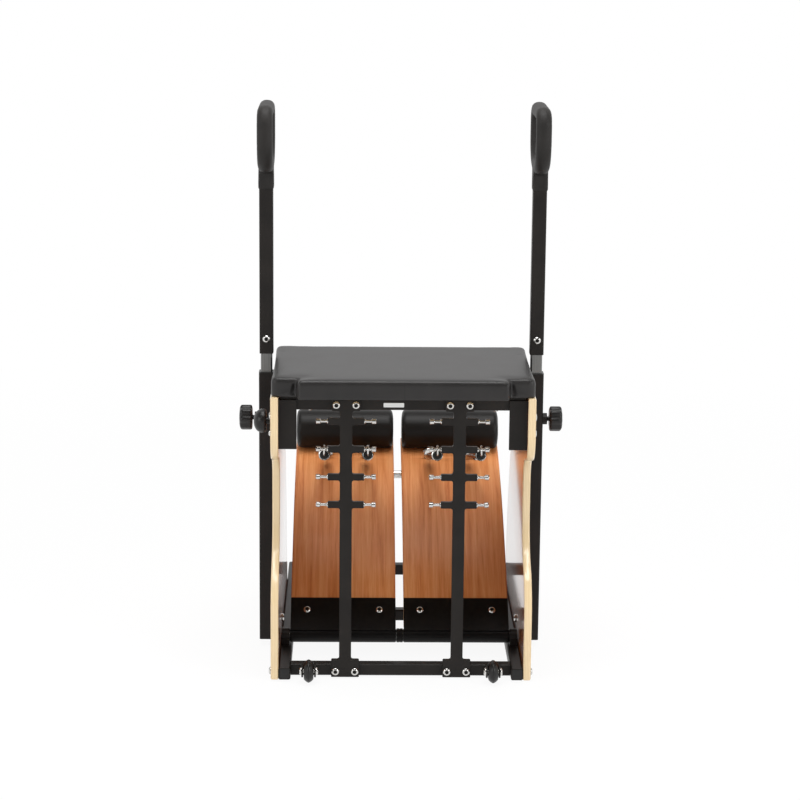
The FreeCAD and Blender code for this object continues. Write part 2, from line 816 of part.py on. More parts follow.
def make_foot_pad():
    """Right padded roll with round-edged ends and a flat seat on the board."""
    centre = pedal_point(pad_place, pad_height) + ACROSS * (pedal_centre - pad_length / 2)
    eased = [(a * pad_edge_radius, pad_radius - b * pad_edge_radius) for a, b in pad_edge_shares]
    steps = eased + [(pad_length - reach, radius) for reach, radius in reversed(eased)]
    roll = turned(centre, ACROSS, steps, pad_sides)
    seat = pedal_point(pad_place, 0) + ACROSS * pedal_centre
    return roll.cut(prism(seat, -pedal_up(pad_place), pad_length, pad_radius, square_sides)).Solids[0]


def make_pedal_bolts():
    """Heads of the two bolts through the right hinge plate."""
    seat = pedal_point(plate_bolt_place, plate_thickness)
    return [bolt_head(seat + ACROSS * x, pedal_up(plate_bolt_place)) for x in plate_bolt_places]


def flat_ring(centre, axis, radius, wire):
    """Ring of square bar round an axis."""
    start = centre - axis * wire
    outer = prism(start, axis, radius + wire, 2 * wire, cap_sides)
    inner = prism(start - axis * cut_overrun, axis, radius - wire, 2 * (wire + cut_overrun), cap_sides)
    return outer.cut(inner)


def make_spring_eyes():
    """Ring bolts of the right pedal: ring across the chair, collar on top, nut below the board."""
    eyes = []
    up = pedal_up(eye_place)
    along = up.cross(ACROSS)
    for x in spring_places:
        centre = pedal_point(eye_place, eye_pin_height - eye_ring_radius) + ACROSS * x
        ring = flat_ring(centre, along, eye_ring_radius, eye_wire_radius)
        top = pedal_point(eye_place, 0) + ACROSS * x
        low = pedal_point(eye_place, -pedal_thickness - running_clearance) + ACROSS * x
        nut_face = low - up * eye_nut_height
        collar = prism(top, up, eye_collar_radius, eye_collar_height, bolt_sides)
        shank = prism(nut_face, up, eye_wire_radius, (top - nut_face).Length + eye_collar_height, bolt_sides)
        nut = prism(nut_face, up, eye_nut_radius, eye_nut_height, nut_sides)
        below = prism(top, -up, 2 * eye_ring_radius, eye_ring_radius, square_sides)
        eyes.append(solid_of(ring.cut(below).fuse(collar).fuse(shank).fuse(nut)))
    return eyes


def make_rod_guide(near):
    """Sleeve under the right pedal for the joining rod, on a flange that follows the board."""
    x0 = pedal_inner + near
    x1 = x0 + guide_length
    centre = pedal_point(rod_place, -pedal_thickness - guide_radius)
    sleeve = prism(centre + ACROSS * x0, ACROSS, guide_radius, guide_length, cap_sides)
    flange = arc_slab(rod_place - guide_flange_half, rod_place + guide_flange_half,
                      -pedal_thickness - guide_flange, -pedal_thickness, x0, x1)
    above = arc_slab(rod_place - guide_flange_half, rod_place + guide_flange_half,
                     -pedal_thickness, cut_overrun, x0, x1)
    bore = bearing_hole(centre + ACROSS * x0, ACROSS, rod_radius, guide_length)
    return solid_of(sleeve.fuse(flange).cut(above)).cut(bore).Solids[0]


def make_joining_rod():
    """Rod through both pedals, with a knob at its left end."""
    centre = pedal_point(rod_place, -pedal_thickness - guide_radius)
    end = centre - ACROSS * rod_left_reach
    rod = Part.makeCylinder(rod_radius, rod_left_reach + rod_right_reach, end, ACROSS)
    knob = prism(end, -ACROSS, rod_knob_radius, rod_knob_length, cap_sides)
    return solid_of(rod.fuse(knob))


def make_pedal_axle():
    reach = pedal_outer + bush_flange + hook_clearance + axle_block_width
    return Part.makeCylinder(axle_radius, 2 * reach, hinge_point - ACROSS * reach, ACROSS)


def make_hinge_spacer():
    """Ring on the axle that keeps the two pedal hubs apart."""
    reach = pedal_inner - bush_flange - hook_clearance
    ring = prism(hinge_point - ACROSS * reach, ACROSS, hub_radius, 2 * reach, hub_sides)
    return ring.cut(bearing_hole(hinge_point - ACROSS * reach, ACROSS, axle_radius, 2 * reach)).Solids[0]


def make_axle_block():
    """Right bearing block: stands on the rail and carries the axle's end."""
    near = pedal_outer + bush_flange + hook_clearance
    half = axle_radius + axle_block_wall
    foot = box(Vector(near, hinge_depth - axle_block_depth / 2, bar_top),
               Vector(near + axle_block_width, hinge_depth + axle_block_depth / 2, hinge_height))
    end = hinge_point + ACROSS * near
    crown = prism(end, ACROSS, half, axle_block_width, hub_sides)
    return solid_of(foot.fuse(crown)).cut(bearing_hole(end, ACROSS, axle_radius, axle_block_width)).Solids[0]


# Each spring lies along a line from its peg to the pin of its eye
spring_peg = Vector(0, peg_depth, spring_peg_height)
eye_pin = pedal_point(eye_place, eye_pin_height)
spring_run = (eye_pin - spring_peg).Length
spring_slope = math.degrees(math.atan2(eye_pin.z - spring_peg.z, eye_pin.y - spring_peg.y))
hook_reach = hook_radius - hook_wire_radius - peg_radius - hook_clearance
hook_drop = hook_reach * math.sqrt(0.5)
spring_axis_drop = hook_drop + hook_radius
far_loop = spring_run + hook_clearance + hook_slack + hook_wire_radius + eye_wire_radius - hook_radius
coil_start = spring_cap_gap + spring_cap_length + hook_clearance
coil_end = spring_run - spring_cap_gap - spring_cap_length - hook_clearance


def along_spring(shape, x):
    """Turn a piece drawn along Y onto the slope of the springs and set it at its peg."""
    shape.rotate(Vector(0, 0, 0), ACROSS, spring_slope)
    shape.translate(spring_peg + ACROSS * x)
    return shape


def make_hook(centre, cap_face, sign):
    """Bent bar: a shank from the cap that curls round the pin, open on the cap's side above the shank."""
    wire = hook_wire_radius
    reach = 2 * (hook_radius + wire)
    low = centre.z - hook_radius
    y0, y1 = (centre.y, centre.y + reach) if sign > 0 else (centre.y - reach, centre.y)
    mouth = box(Vector(-reach, y0, low + wire), Vector(reach, y1, centre.z + reach))
    start = min(centre.y, cap_face)
    shank = box(Vector(-wire, start, low - wire), Vector(wire, start + abs(cap_face - centre.y), low + wire))
    return solid_of(flat_ring(centre, ACROSS, hook_radius, wire).cut(mouth).fuse(shank))


def make_spring_rear_end(x):
    """Cap on the coil's rear end and the hook that hangs on the peg."""
    loop = Vector(0, hook_drop, -hook_drop)
    hook = make_hook(loop, spring_cap_gap, 1)
    axis_point = Vector(0, spring_cap_gap, -spring_axis_drop)
    cap = prism(axis_point, ALONG, spring_cap_radius, spring_cap_length, cap_sides)
    return along_spring(solid_of(cap.fuse(hook)), x)


def make_spring_front_end(x):
    """Cap on the coil's front end and the hook that holds the eye."""
    loop = Vector(0, far_loop, -hook_drop)
    face = spring_run - spring_cap_gap
    hook = make_hook(loop, face, -1)
    axis_point = Vector(0, face - spring_cap_length, -spring_axis_drop)
    cap = prism(axis_point, ALONG, spring_cap_radius, spring_cap_length, cap_sides)
    return along_spring(solid_of(cap.fuse(hook)), x)


def biarc(p, tangent_p, q, tangent_q):
    """Two arcs that leave p along tangent_p and reach q along tangent_q."""
    span = q - p
    total = tangent_p + tangent_q
    spread = 2 * (1 - tangent_p.dot(tangent_q))
    reach = (math.sqrt(span.dot(total) ** 2 + 2 * spread * span.dot(span)) - span.dot(total)) / spread
    joint = (p + q + (tangent_p - tangent_q) * reach) * 0.5
    return [tangent_arc(p, tangent_p, joint), tangent_arc(q, tangent_q * -1, joint)]


def tangent_arc(p, tangent, q):
    """Arc from p, leaving along tangent, to q."""
    chord = q - p
    half = chord.getAngle(tangent)
    side = tangent - chord * (tangent.dot(chord) / chord.dot(chord))
    rise_at_middle = chord.Length / 2 * math.tan(half / 2)
    return Part.Arc(p, (p + q) * 0.5 + side.normalize() * rise_at_middle, q).toShape()


def coil_point(turn, pitch):
    angle = 2 * math.pi * turn
    return Vector(spring_coil_radius * math.cos(angle), pitch * turn, spring_coil_radius * math.sin(angle))


def coil_tangent(turn, pitch):
    angle = 2 * math.pi * turn
    round_part = 2 * math.pi * spring_coil_radius
    return Vector(-round_part * math.sin(angle), pitch, round_part * math.cos(angle)).normalize()


def bend_to_axis(point, tangent):
    """Arc from a coil's end to the axial direction; returns the arc and where it ends."""
    turn = tangent.getAngle(ALONG)
    inward = (ALONG - tangent * ALONG.dot(tangent)).normalize()
    middle = point + (tangent * math.sin(turn / 2) + inward * (1 - math.cos(turn / 2))) * spring_end_bend
    end = point + (tangent * math.sin(turn) + inward * (1 - math.cos(turn))) * spring_end_bend
    return Part.Arc(point, middle, end).toShape(), end


def coil_path():
    """Axial lead, bend, turns, bend and axial lead of one spring, from its rear cap to its front cap."""
    lead = 2 * spring_wire_radius
    rest = coil_end - coil_start - 2 * lead
    pitch = rest / spring_turns
    for i in range(12):
        bend, end = bend_to_axis(coil_point(0, pitch), coil_tangent(0, pitch))
        pitch = (rest - 2 * (end.y - coil_point(0, pitch).y)) / spring_turns
    bend, end = bend_to_axis(coil_point(spring_turns, pitch), coil_tangent(spring_turns, pitch))
    shift = coil_start + lead + (end.y - coil_point(spring_turns, pitch).y)
    tail = [bend, line(end, end + ALONG * lead)]
    edges = []
    quarters = 4 * spring_turns
    for i in range(quarters):
        a, b = i / 4, (i + 1) / 4
        start, end_point = coil_point(a, pitch), coil_point(b, pitch)
        edges += biarc(start, coil_tangent(a, pitch), end_point, coil_tangent(b, pitch))
    middle = Vector(0, pitch * spring_turns / 2, 0)
    head = []
    for edge in tail:
        opposite = edge.copy()
        opposite.rotate(middle, ACROSS, 180)
        head.append(opposite)
    wire = Part.Wire(Part.__sortEdges__(head + edges + tail))
    wire.translate(Vector(0, shift, -spring_axis_drop))
    return wire


def coil_gap(wire):
    """Least distance between turns of the coil, less its wire, measured on points."""
    points = wire.discretize(Number=40 * spring_turns)
    apart = 20
    least = []
    for i in range(len(points) - apart):
        least.append(min((points[i] - other).Length for other in points[i + apart:]))
    return min(least) - 2 * spring_wire_radius


def make_spring(x):
    wire = coil_path()
    print("spring gap to itself", round(coil_gap(wire), 2), "mm, length of wire", round(wire.Length, 1))
    corners = ring_of(wire.OrderedVertexes[0].Point, ALONG, spring_wire_radius, square_sides)
    return along_spring(wire.makePipeShell([flat_face(corners).OuterWire], True, False), x)


def make_wheel():
    """Right transport wheel with a round tread and a plain bore."""
    start = Vector(wheel_place - wheel_width / 2, wheel_depth, wheel_height)
    eased = [(a * wheel_width, wheel_radius - b * wheel_tread_drop) for a, b in wheel_tread_shares]
    steps = eased + [(wheel_width - reach, radius) for reach, radius in reversed(eased)]
    wheel = turned(start, ACROSS, steps, wheel_sides)
    return wheel.cut(bearing_hole(start, ACROSS, wheel_axle_radius, wheel_width)).Solids[0]


def make_wheel_bracket():
    """Right wheel bracket: two ears on a plate that is bolted to the rear crossbar."""
    near = wheel_width / 2 + wheel_side_gap
    low = wheel_height - ear_height / 2
    pieces = []
    for side in (-1, 1):
        inner = wheel_place + side * near
        outer = inner + side * ear_thickness
        x0 = min(inner, outer)
        ear = box(Vector(x0, wheel_depth, low), Vector(x0 + ear_thickness, post_row_depth, low + ear_height))
        nose = prism(Vector(x0, wheel_depth, wheel_height), ACROSS, ear_height / 2, ear_thickness, cap_sides)
        pieces.append(ear.fuse(nose))
    plate = box(Vector(wheel_place - near, post_row_depth - ear_plate, low),
                Vector(wheel_place + near, post_row_depth, bar_top))
    bracket = pieces[0].fuse(pieces[1:] + [plate])
    end = Vector(wheel_place - near - ear_thickness, wheel_depth, wheel_height)
    bore = bearing_hole(end, ACROSS, wheel_axle_radius, 2 * (near + ear_thickness))
    return solid_of(bracket).cut(bore).Solids[0]


def make_wheel_axle():
    """Pin through both ears, with a rounded head at each end."""
    reach = wheel_width / 2 + wheel_side_gap + ear_thickness
    middle = Vector(wheel_place, wheel_depth, wheel_height)
    pin = prism(middle - ACROSS * reach, ACROSS, wheel_axle_radius, 2 * reach, cap_sides)
    heads = [bolt_head(middle + axis * reach, axis) for axis in (ACROSS, -ACROSS)]
    return solid_of(pin.multiFuse(heads))


def make_frame_bolts():
    """Heads of all the bolts that hold the panels, posts, brackets and seat."""
    bolts = []
    for height in (tree_bolt_low, tree_bolt_high):
        bolts += [bolt_head(place, -ALONG) for place in tree_bolt_places(height)]
    for place in seat_bolt_places():
        bolts.append(bolt_head(place, -UP, seat_bolt_head_radius, seat_bolt_head_height))
    for name, sign in SIDES:
        outside = rail_bolt_places() + bracket_bolt_places()
        bolts += [sided(bolt_head(place, ACROSS), sign) for place in outside]
        bolts += [sided(bolt_head(place, -ACROSS), sign) for place in post_bolt_places()]
    return bolts


def make_frame():
    for name, sign in SIDES:
        panel = sided(make_side_panel(), sign)
        if sign < 0:
            panel = panel.cut(side_knob_hole()).Solids[0]
        save("side_panel_" + name, [panel])
        save("base_rail_" + name, [sided(make_base_rail(), sign)])
        save("seat_bracket_" + name, [sided(make_seat_bracket(), sign)])
        save("spring_post_" + name, [make_spring_post(sign * tree_centre)])
        save("handle_post_" + name, [sided(make_handle_post(), sign)])
    save("rail_end_caps", make_end_caps())
    save("front_crossbar", [make_crossbar(front_bar_place, foot_height, bar_side, rail_inner)])
    save("mid_crossbar", [make_crossbar(mid_bar_place, foot_height, bar_side, rail_inner)])
    save("rear_crossbar", [make_crossbar(post_row_depth, foot_height, bar_side, rail_inner)])
    save("upper_crossbar", [make_upper_crossbar()])
    pegs = []
    for centre in (-tree_centre, tree_centre):
        pegs += [make_peg(start, axis) for start, axis in peg_places(centre)]
    save("spring_pegs", pegs)
    save("frame_bolts", make_frame_bolts())
    board = make_seat_board()
    save("seat_board", [board])
    save("seat_cushion", [make_seat_cushion(board)])
    save("post_bushes", [sided(make_post_bush(), sign) for name, sign in SIDES])
    save("pedal_axle", [make_pedal_axle()])
    save("hinge_spacer", [make_hinge_spacer()])
    save("axle_blocks", [sided(make_axle_block(), sign) for name, sign in SIDES])
    save("wheel_brackets", [sided(make_wheel_bracket(), sign) for name, sign in SIDES])
    save("wheel_axles", [sided(make_wheel_axle(), sign) for name, sign in SIDES])
    save("rubber_feet", make_feet())


def make_moving_pieces():
    for name, sign in SIDES:
        save("pedal_board_" + name, [sided(make_pedal_board(), sign)])
        save("hinge_plate_" + name, [sided(make_hinge_plate(), sign)])
        save("hinge_bushes_" + name, [sided(bush, sign) for bush in make_hinge_bushes()])
        save("foot_pad_" + name, [sided(make_foot_pad(), sign)])
        save("pedal_bolts_" + name, [sided(bolt, sign) for bolt in make_pedal_bolts()])
        save("spring_eyes_" + name, [sided(eye, sign) for eye in make_spring_eyes()])
        nears = (guide_near,) if sign > 0 else (guide_near, guide_far)
        save("rod_guides_" + name, [sided(make_rod_guide(near), sign) for near in nears])
        save("springs_" + name, [sided(make_spring(x), sign) for x in spring_places])
        save("spring_rear_ends_" + name, [sided(make_spring_rear_end(x), sign) for x in spring_places])
        save("spring_front_ends_" + name, [sided(make_spring_front_end(x), sign) for x in spring_places])
        save("handle_grip_" + name, [sided(make_grip(), sign)])
        save("handle_tube_" + name, [sided(make_handle_tube(), sign)])
        save("inner_tube_" + name, [sided(make_inner_tube(), sign)])
        save("handle_bolt_" + name, [sided(make_handle_bolt(), sign)])
        save("clamp_knob_" + name, [sided(make_clamp_knob(), sign)])
        save("transport_wheel_" + name, [sided(make_wheel(), sign)])
    save("side_knob", [make_side_knob()])
    save("joining_rod", [make_joining_rod()])


os.makedirs("parts", exist_ok=True)
make_frame()
make_moving_pieces()
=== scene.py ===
import math

import bmesh
import bpy
import numpy as np
from mathutils import Matrix, Vector


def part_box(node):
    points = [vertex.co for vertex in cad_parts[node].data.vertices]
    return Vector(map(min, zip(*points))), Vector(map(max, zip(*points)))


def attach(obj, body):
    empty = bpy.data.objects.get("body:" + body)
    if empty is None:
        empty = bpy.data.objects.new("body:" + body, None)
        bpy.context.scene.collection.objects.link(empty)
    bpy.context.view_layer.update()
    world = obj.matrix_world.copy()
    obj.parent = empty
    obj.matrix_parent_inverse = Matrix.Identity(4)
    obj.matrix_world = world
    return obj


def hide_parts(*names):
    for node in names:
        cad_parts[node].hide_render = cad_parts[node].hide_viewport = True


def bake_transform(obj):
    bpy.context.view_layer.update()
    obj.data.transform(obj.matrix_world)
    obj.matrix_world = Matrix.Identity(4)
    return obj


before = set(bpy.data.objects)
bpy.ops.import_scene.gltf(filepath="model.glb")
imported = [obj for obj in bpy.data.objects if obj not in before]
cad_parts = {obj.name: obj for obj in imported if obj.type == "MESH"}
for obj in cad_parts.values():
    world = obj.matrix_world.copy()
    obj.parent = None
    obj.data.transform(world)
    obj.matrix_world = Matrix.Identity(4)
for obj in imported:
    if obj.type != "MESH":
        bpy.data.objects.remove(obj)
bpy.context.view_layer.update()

# Pilates chair, seen from its spring side. Lengths are in millimetres in the row frame.
MM = 0.001
scene = bpy.context.scene

ACROSS = Vector((1, 0, 0))
ALONG = Vector((0, 1, 0))
UP = Vector((0, 0, 1))
SIDES = (("left", -1), ("right", 1))

# Places as the chair's solids have them. Along and lift are measured on a pedal's upper face, from its hinge
# end and square to it.
arc_centre = Vector((0, 623.411, -873.378))
arc_radius = 1250
pedal_rise = math.radians(42)
pedal_inner, pedal_outer = 8.5, 233.5
board_thick = 18
eye_along = 545
rod_along, rod_lift = 521, -30
pad_along, pad_lift = 609, 41
hinge_centre = Vector((0, -203.5, 45))
spring_slope = math.radians(-13.7256)
spring_peg = Vector((0, -349.5, 490.5))
spring_run = 617.965
spring_drop = 11.616
spring_places = (71.25, 160.75)
# The posts, forks and plate stand against the rear face of the crossbars
bar_rear = -344.5
post_x, post_rear = 116, -354.5
handle_x, handle_y = 286, -126.5
clamp_height = 505
side_knob_y, side_knob_z = -309.5, 540
wheel_x, wheel_y, wheel_z = 191, -383.5, 26


# Finishes

def colour(hex_code):
    """sRGB hex code as linear red, green, blue and alpha."""
    shares = [int(hex_code[i:i + 2], 16) / 255 for i in (1, 3, 5)]
    linear = [c / 12.92 if c <= 0.04045 else ((c + 0.055) / 1.055) ** 2.4 for c in shares]
    return (*linear, 1)


def output_of(source):
    """First output of a node; an output or a plain value stays as it is."""
    return source.outputs[0] if isinstance(source, bpy.types.Node) else source


def add_node(tree, kind, links=None, stops=(), **settings):
    """One shader node with its settings; links gives each input a value, a node or an output, and stops gives
    a ramp its places and colours, first, last and then those between."""
    node = tree.nodes.new("ShaderNode" + kind)
    for i, (place, hex_code) in enumerate(stops):
        stop = node.color_ramp.elements[i] if i < 2 else node.color_ramp.elements.new(place)
        stop.position = place
        stop.color = colour(hex_code)
    for name, value in settings.items():
        setattr(node, name, value)
    for name, source in (links or {}).items():
        value = output_of(source)
        if isinstance(value, bpy.types.NodeSocket):
            tree.links.new(value, node.inputs[name])
        else:
            node.inputs[name].default_value = value
    return node


def new_finish(name, **constants):
    """Material with its shader's plain sockets set; returns it with its tree and shader."""
    finish = bpy.data.materials.new(name)
    finish.use_nodes = True
    tree = finish.node_tree
    shader = tree.nodes["Principled BSDF"]
    for socket, value in constants.items():
        shader.inputs[socket.replace("_", " ")].default_value = value
    return finish, tree, shader


def lead(tree, shader, tone, gloss, relief=None):
    """Lead a tone, a roughness and, where there is one, a relief to the shader."""
    for socket, source in (("Base Color", tone), ("Roughness", gloss), ("Normal", relief)):
        if source is not None:
            tree.links.new(output_of(source), shader.inputs[socket])


def per_mm(size):
    """Texture scale at which one feature is this many millimetres across."""
    return 1 / (size * MM)


def x_faces(tree, place):
    """1 on faces that look along X, 0 elsewhere."""
    way = add_node(tree, "SeparateXYZ", {0: place.outputs["Normal"]})
    facing = add_node(tree, "Math", {0: way.outputs["X"]}, operation="ABSOLUTE")
    return add_node(tree, "Math", {0: facing, 1: 0.85}, operation="GREATER_THAN")


def lacquered_ply_side():
    """Birch plywood sheet, stained orange-brown on its faces and clear on its cut edges, sprayed lacquer:
    long veneer streaks under a soft gloss, and pale edges with thin darker plies."""
    finish, tree, shader = new_finish("lacquered_birch_plywood_sheet", IOR=1.5, Coat_Weight=1,
                                      Coat_Roughness=0.09)
    place = add_node(tree, "TexCoord")
    # Veneer figure about 7 mm wide and 190 mm long
    run = add_node(tree, "Mapping", {"Vector": place.outputs["Object"],
                   "Scale": (per_mm(30), per_mm(7), per_mm(190))})
    figure = add_node(tree, "TexNoise", {"Vector": run, "Scale": 1, "Detail": 5, "Roughness": 0.6,
                      "Distortion": 0.4})
    face = add_node(tree, "ValToRGB", {"Fac": figure}, [(0.3, "#9f5427"), (0.7, "#b9763f"),
                    (0.5, "#ad6535")])
    # Plies of 1.6 mm in pairs of light and dark; the wave node itself multiplies its scale by 20
    ply_pair = 3.2
    plies = add_node(tree, "TexWave", {"Vector": place.outputs["Object"], "Distortion": 0.6,
                     "Scale": 2 * math.pi / (20 * ply_pair * MM)}, bands_direction="X")
    edge = add_node(tree, "ValToRGB", {"Fac": plies.outputs["Fac"]}, [(0.1, "#dfc396"), (0.9, "#ebd3aa"),
                    (0.45, "#e6cc9f")])
    tone = add_node(tree, "Mix", {"Factor": x_faces(tree, place), "A": edge, "B": face}, data_type="RGBA")
    gloss = add_node(tree, "MapRange", {"Value": figure, "To Min": 0.3, "To Max": 0.42})
    relief = add_node(tree, "Bump", {"Height": figure, "Strength": 0.06, "Distance": 0.4 * MM})
    lead(tree, shader, tone.outputs["Result"], gloss, relief)
    return finish


def bent_ply_board():
    """Moulded plywood pedal board, veneer along its length, stained and lacquered: fine brown streaks and
    pores under a satin coat, and plies that follow the bend on its sides."""
    finish, tree, shader = new_finish("lacquered_bent_plywood", IOR=1.5, Specular_IOR_Level=0.2,
                                      Coat_Weight=0.2, Coat_Roughness=0.3)
    place = add_node(tree, "TexCoord")
    # Veneer figure about 9 mm wide and 260 mm long, with 1 mm pores that are drawn 1.6 mm wide to show
    run = add_node(tree, "Mapping", {"Vector": place.outputs["Object"],
                   "Scale": (per_mm(9), per_mm(260), per_mm(260))})
    figure = add_node(tree, "TexNoise", {"Vector": run, "Scale": 1, "Detail": 6, "Roughness": 0.62,
                      "Distortion": 0.5})
    fine = add_node(tree, "Mapping", {"Vector": place.outputs["Object"],
                    "Scale": (per_mm(1.6), per_mm(34), per_mm(34))})
    pores = add_node(tree, "TexNoise", {"Vector": fine, "Scale": 1, "Detail": 2})
    grain = add_node(tree, "Math", {0: pores, 1: 0.2, 2: figure}, operation="MULTIPLY_ADD")
    face = add_node(tree, "ValToRGB", {"Fac": grain}, [(0.36, "#b0622f"), (0.8, "#d9965f"),
                    (0.56, "#ca7e48")])
    # Nine plies of 2 mm, counted by the distance from the bend's axis
    apart = add_node(tree, "VectorMath", {0: place.outputs["Object"], 1: arc_centre * MM},
                     operation="SUBTRACT")
    flat = add_node(tree, "VectorMath", {0: apart, 1: (0, 1, 1)}, operation="MULTIPLY")
    depth = add_node(tree, "VectorMath", {0: flat}, operation="LENGTH")
    plies = add_node(tree, "Math", {0: depth.outputs["Value"], 1: math.pi / (2 * MM)}, operation="MULTIPLY")
    wave = add_node(tree, "Math", {0: plies}, operation="SINE")
    edge = add_node(tree, "ValToRGB", {"Fac": wave}, [(0, "#c79a66"), (1, "#ecd2a6"), (0.5, "#e0bd8c")])
    tone = add_node(tree, "Mix", {"Factor": x_faces(tree, place), "A": face, "B": edge}, data_type="RGBA")
    gloss = add_node(tree, "MapRange", {"Value": grain, "To Min": 0.42, "To Max": 0.56})
    relief = add_node(tree, "Bump", {"Height": grain, "Strength": 0.08, "Distance": 0.4 * MM})
    lead(tree, shader, tone.outputs["Result"], gloss, relief)
    return finish


def grained_leatherette(name, tones, gleam, seam_places, seam_way):
    """Black PVC leatherette, embossed with a pebble grain: dull black that turns grey where light grazes it.
    tones are its darkest and lightest, gleam its shine, and seam_places the sewn lines across X, on faces
    that look along seam_way."""
    finish, tree, shader = new_finish(name, IOR=1.5, Specular_IOR_Level=gleam, Sheen_Weight=0.04,
                                      Sheen_Roughness=0.4)
    place = add_node(tree, "TexCoord")
    # Pebbles of 1.1 mm, drawn 1.8 mm wide to show
    pebbles = add_node(tree, "TexVoronoi", {"Vector": place.outputs["Object"], "Scale": per_mm(1.8)})
    slack = add_node(tree, "TexNoise", {"Vector": place.outputs["Object"], "Scale": per_mm(45),
                     "Detail": 3})
    tone = add_node(tree, "ValToRGB", {"Fac": slack}, [(0.3, tones[0]), (0.7, tones[1])])
    where = add_node(tree, "SeparateXYZ", {0: place.outputs["Object"]})
    # A sewn line sinks 0.8 mm over 2.4 mm
    sunk = 0
    for seam in seam_places:
        off = add_node(tree, "Math", {0: where.outputs["X"], 1: seam * MM}, operation="SUBTRACT")
        away = add_node(tree, "Math", {0: off}, operation="ABSOLUTE")
        dip = add_node(tree, "MapRange", {"Value": away, "From Max": 1.2 * MM, "To Min": 1,
                       "To Max": 0}, interpolation_type="SMOOTHSTEP")
        sunk = add_node(tree, "Math", {0: sunk, 1: dip}, operation="MAXIMUM")
    facing = add_node(tree, "VectorMath", {0: place.outputs["Normal"], 1: seam_way},
                      operation="DOT_PRODUCT")
    seen = add_node(tree, "MapRange", {"Value": facing.outputs["Value"], "From Min": 0.5, "From Max": 0.8})
    sewn = add_node(tree, "Math", {0: sunk, 1: seen}, operation="MULTIPLY")
    level = add_node(tree, "Math", {0: sewn, 1: -4, 2: pebbles.outputs["Distance"]},
                     operation="MULTIPLY_ADD")
    relief = add_node(tree, "Bump", {"Height": level, "Strength": 0.22, "Distance": 0.2 * MM})
    dark = add_node(tree, "Mix", {"Factor": sewn, "A": tone, "B": colour("#0d0b0a")}, data_type="RGBA")
    gloss = add_node(tree, "MapRange", {"Value": slack, "To Min": 0.41, "To Max": 0.47})
    lead(tree, shader, dark.outputs["Result"], gloss, relief)
    return finish


def noise_finish(name, noises, tone, gloss, bump=None, **constants):
    """Material whose looks follow noises, each with sizes along X, Y and Z and a detail. tone names a noise
    and colour stops, gloss a noise and two roughnesses, and bump a noise, a strength and a depth."""
    finish, tree, shader = new_finish(name, **constants)
    place = add_node(tree, "TexCoord")
    levels = {}
    for noise, (sizes, detail) in noises.items():
        run = add_node(tree, "Mapping", {"Vector": place.outputs["Object"],
                       "Scale": [per_mm(size) for size in sizes]})
        levels[noise] = add_node(tree, "TexNoise", {"Vector": run, "Scale": 1, "Detail": detail})
    tone_noise, stops = tone
    shade = add_node(tree, "ValToRGB", {"Fac": levels[tone_noise]}, stops)
    gloss_noise, least, most = gloss
    rough = add_node(tree, "MapRange", {"Value": levels[gloss_noise], "To Min": least, "To Max": most})
    relief = None
    if bump:
        bump_noise, strength, depth = bump
        relief = add_node(tree, "Bump", {"Height": levels[bump_noise], "Strength": strength,
                          "Distance": depth * MM})
    lead(tree, shader, shade, rough, relief)
    return finish


finishes = {
    "plywood": lacquered_ply_side(),
    # Unfinished poplar plywood of the seat board: pale and dull, with streaks 6 mm wide and 150 mm long
    "raw_plywood": noise_finish(
        "sawn_poplar_plywood", {"streaks": ((150, 6, 6), 5)},
        ("streaks", [(0.3, "#c2a274"), (0.8, "#e2cda8"), (0.55, "#d8bd92")]), ("streaks", 0.65, 0.8),
        IOR=1.45),
    # Steel under baked black powder: warm near-black, with an orange peel of about 0.7 mm that breaks up its
    # highlights, drawn 1.4 mm wide to show
    "black_steel": noise_finish(
        "powder_coated_steel", {"peel": ((1.4, 1.4, 1.4), 2), "wide": ((60, 60, 60), 3)},
        ("wide", [(0.3, "#171412"), (0.7, "#211d1a")]), ("wide", 0.36, 0.48), ("peel", 0.12, 0.12),
        IOR=1.5, Specular_IOR_Level=0.22),
    # Cold-drawn tube, zinc plated: mid grey metal with lines of 0.3 mm along it, drawn 0.9 mm wide to show
    "grey_steel": noise_finish(
        "drawn_zinc_plated_steel", {"lines": ((0.9, 0.9, 120), 3)},
        ("lines", [(0.3, "#6f6f6e"), (0.7, "#898987")]), ("lines", 0.32, 0.46), Metallic=1),
    # Steel with a bright nickel plate: mirror-like, slightly warm, and hazy in patches of about 5 mm
    "bright_steel": noise_finish(
        "bright_nickel_plated_steel", {"haze": ((5, 5, 5), 3)},
        ("haze", [(0.3, "#c6c4c0"), (0.7, "#dcdbd8")]), ("haze", 0.07, 0.16), Metallic=1),
    # Soft PVC moulding of the grips: dark warm grey with a matt texture of 0.5 mm, drawn 1.2 mm wide to show
    "grip_rubber": noise_finish(
        "moulded_soft_pvc", {"grit": ((1.2, 1.2, 1.2), 3), "wide": ((40, 40, 40), 2)},
        ("wide", [(0.3, "#1b1917"), (0.7, "#24211f")]), ("grit", 0.5, 0.66), ("grit", 0.2, 0.15),
        IOR=1.5, Specular_IOR_Level=0.3),
    # Black nylon moulding of knobs, plugs and wheels: satin, with a skin of 0.4 mm, drawn 1 mm wide to show
    "black_plastic": noise_finish(
        "moulded_black_nylon", {"grit": ((1, 1, 1), 2), "wide": ((25, 25, 25), 2)},
        ("wide", [(0.3, "#131211"), (0.7, "#1b1a19")]), ("grit", 0.3, 0.42), ("grit", 0.12, 0.1),
        IOR=1.53, Specular_IOR_Level=0.35),
}
board_finish = bent_ply_board()
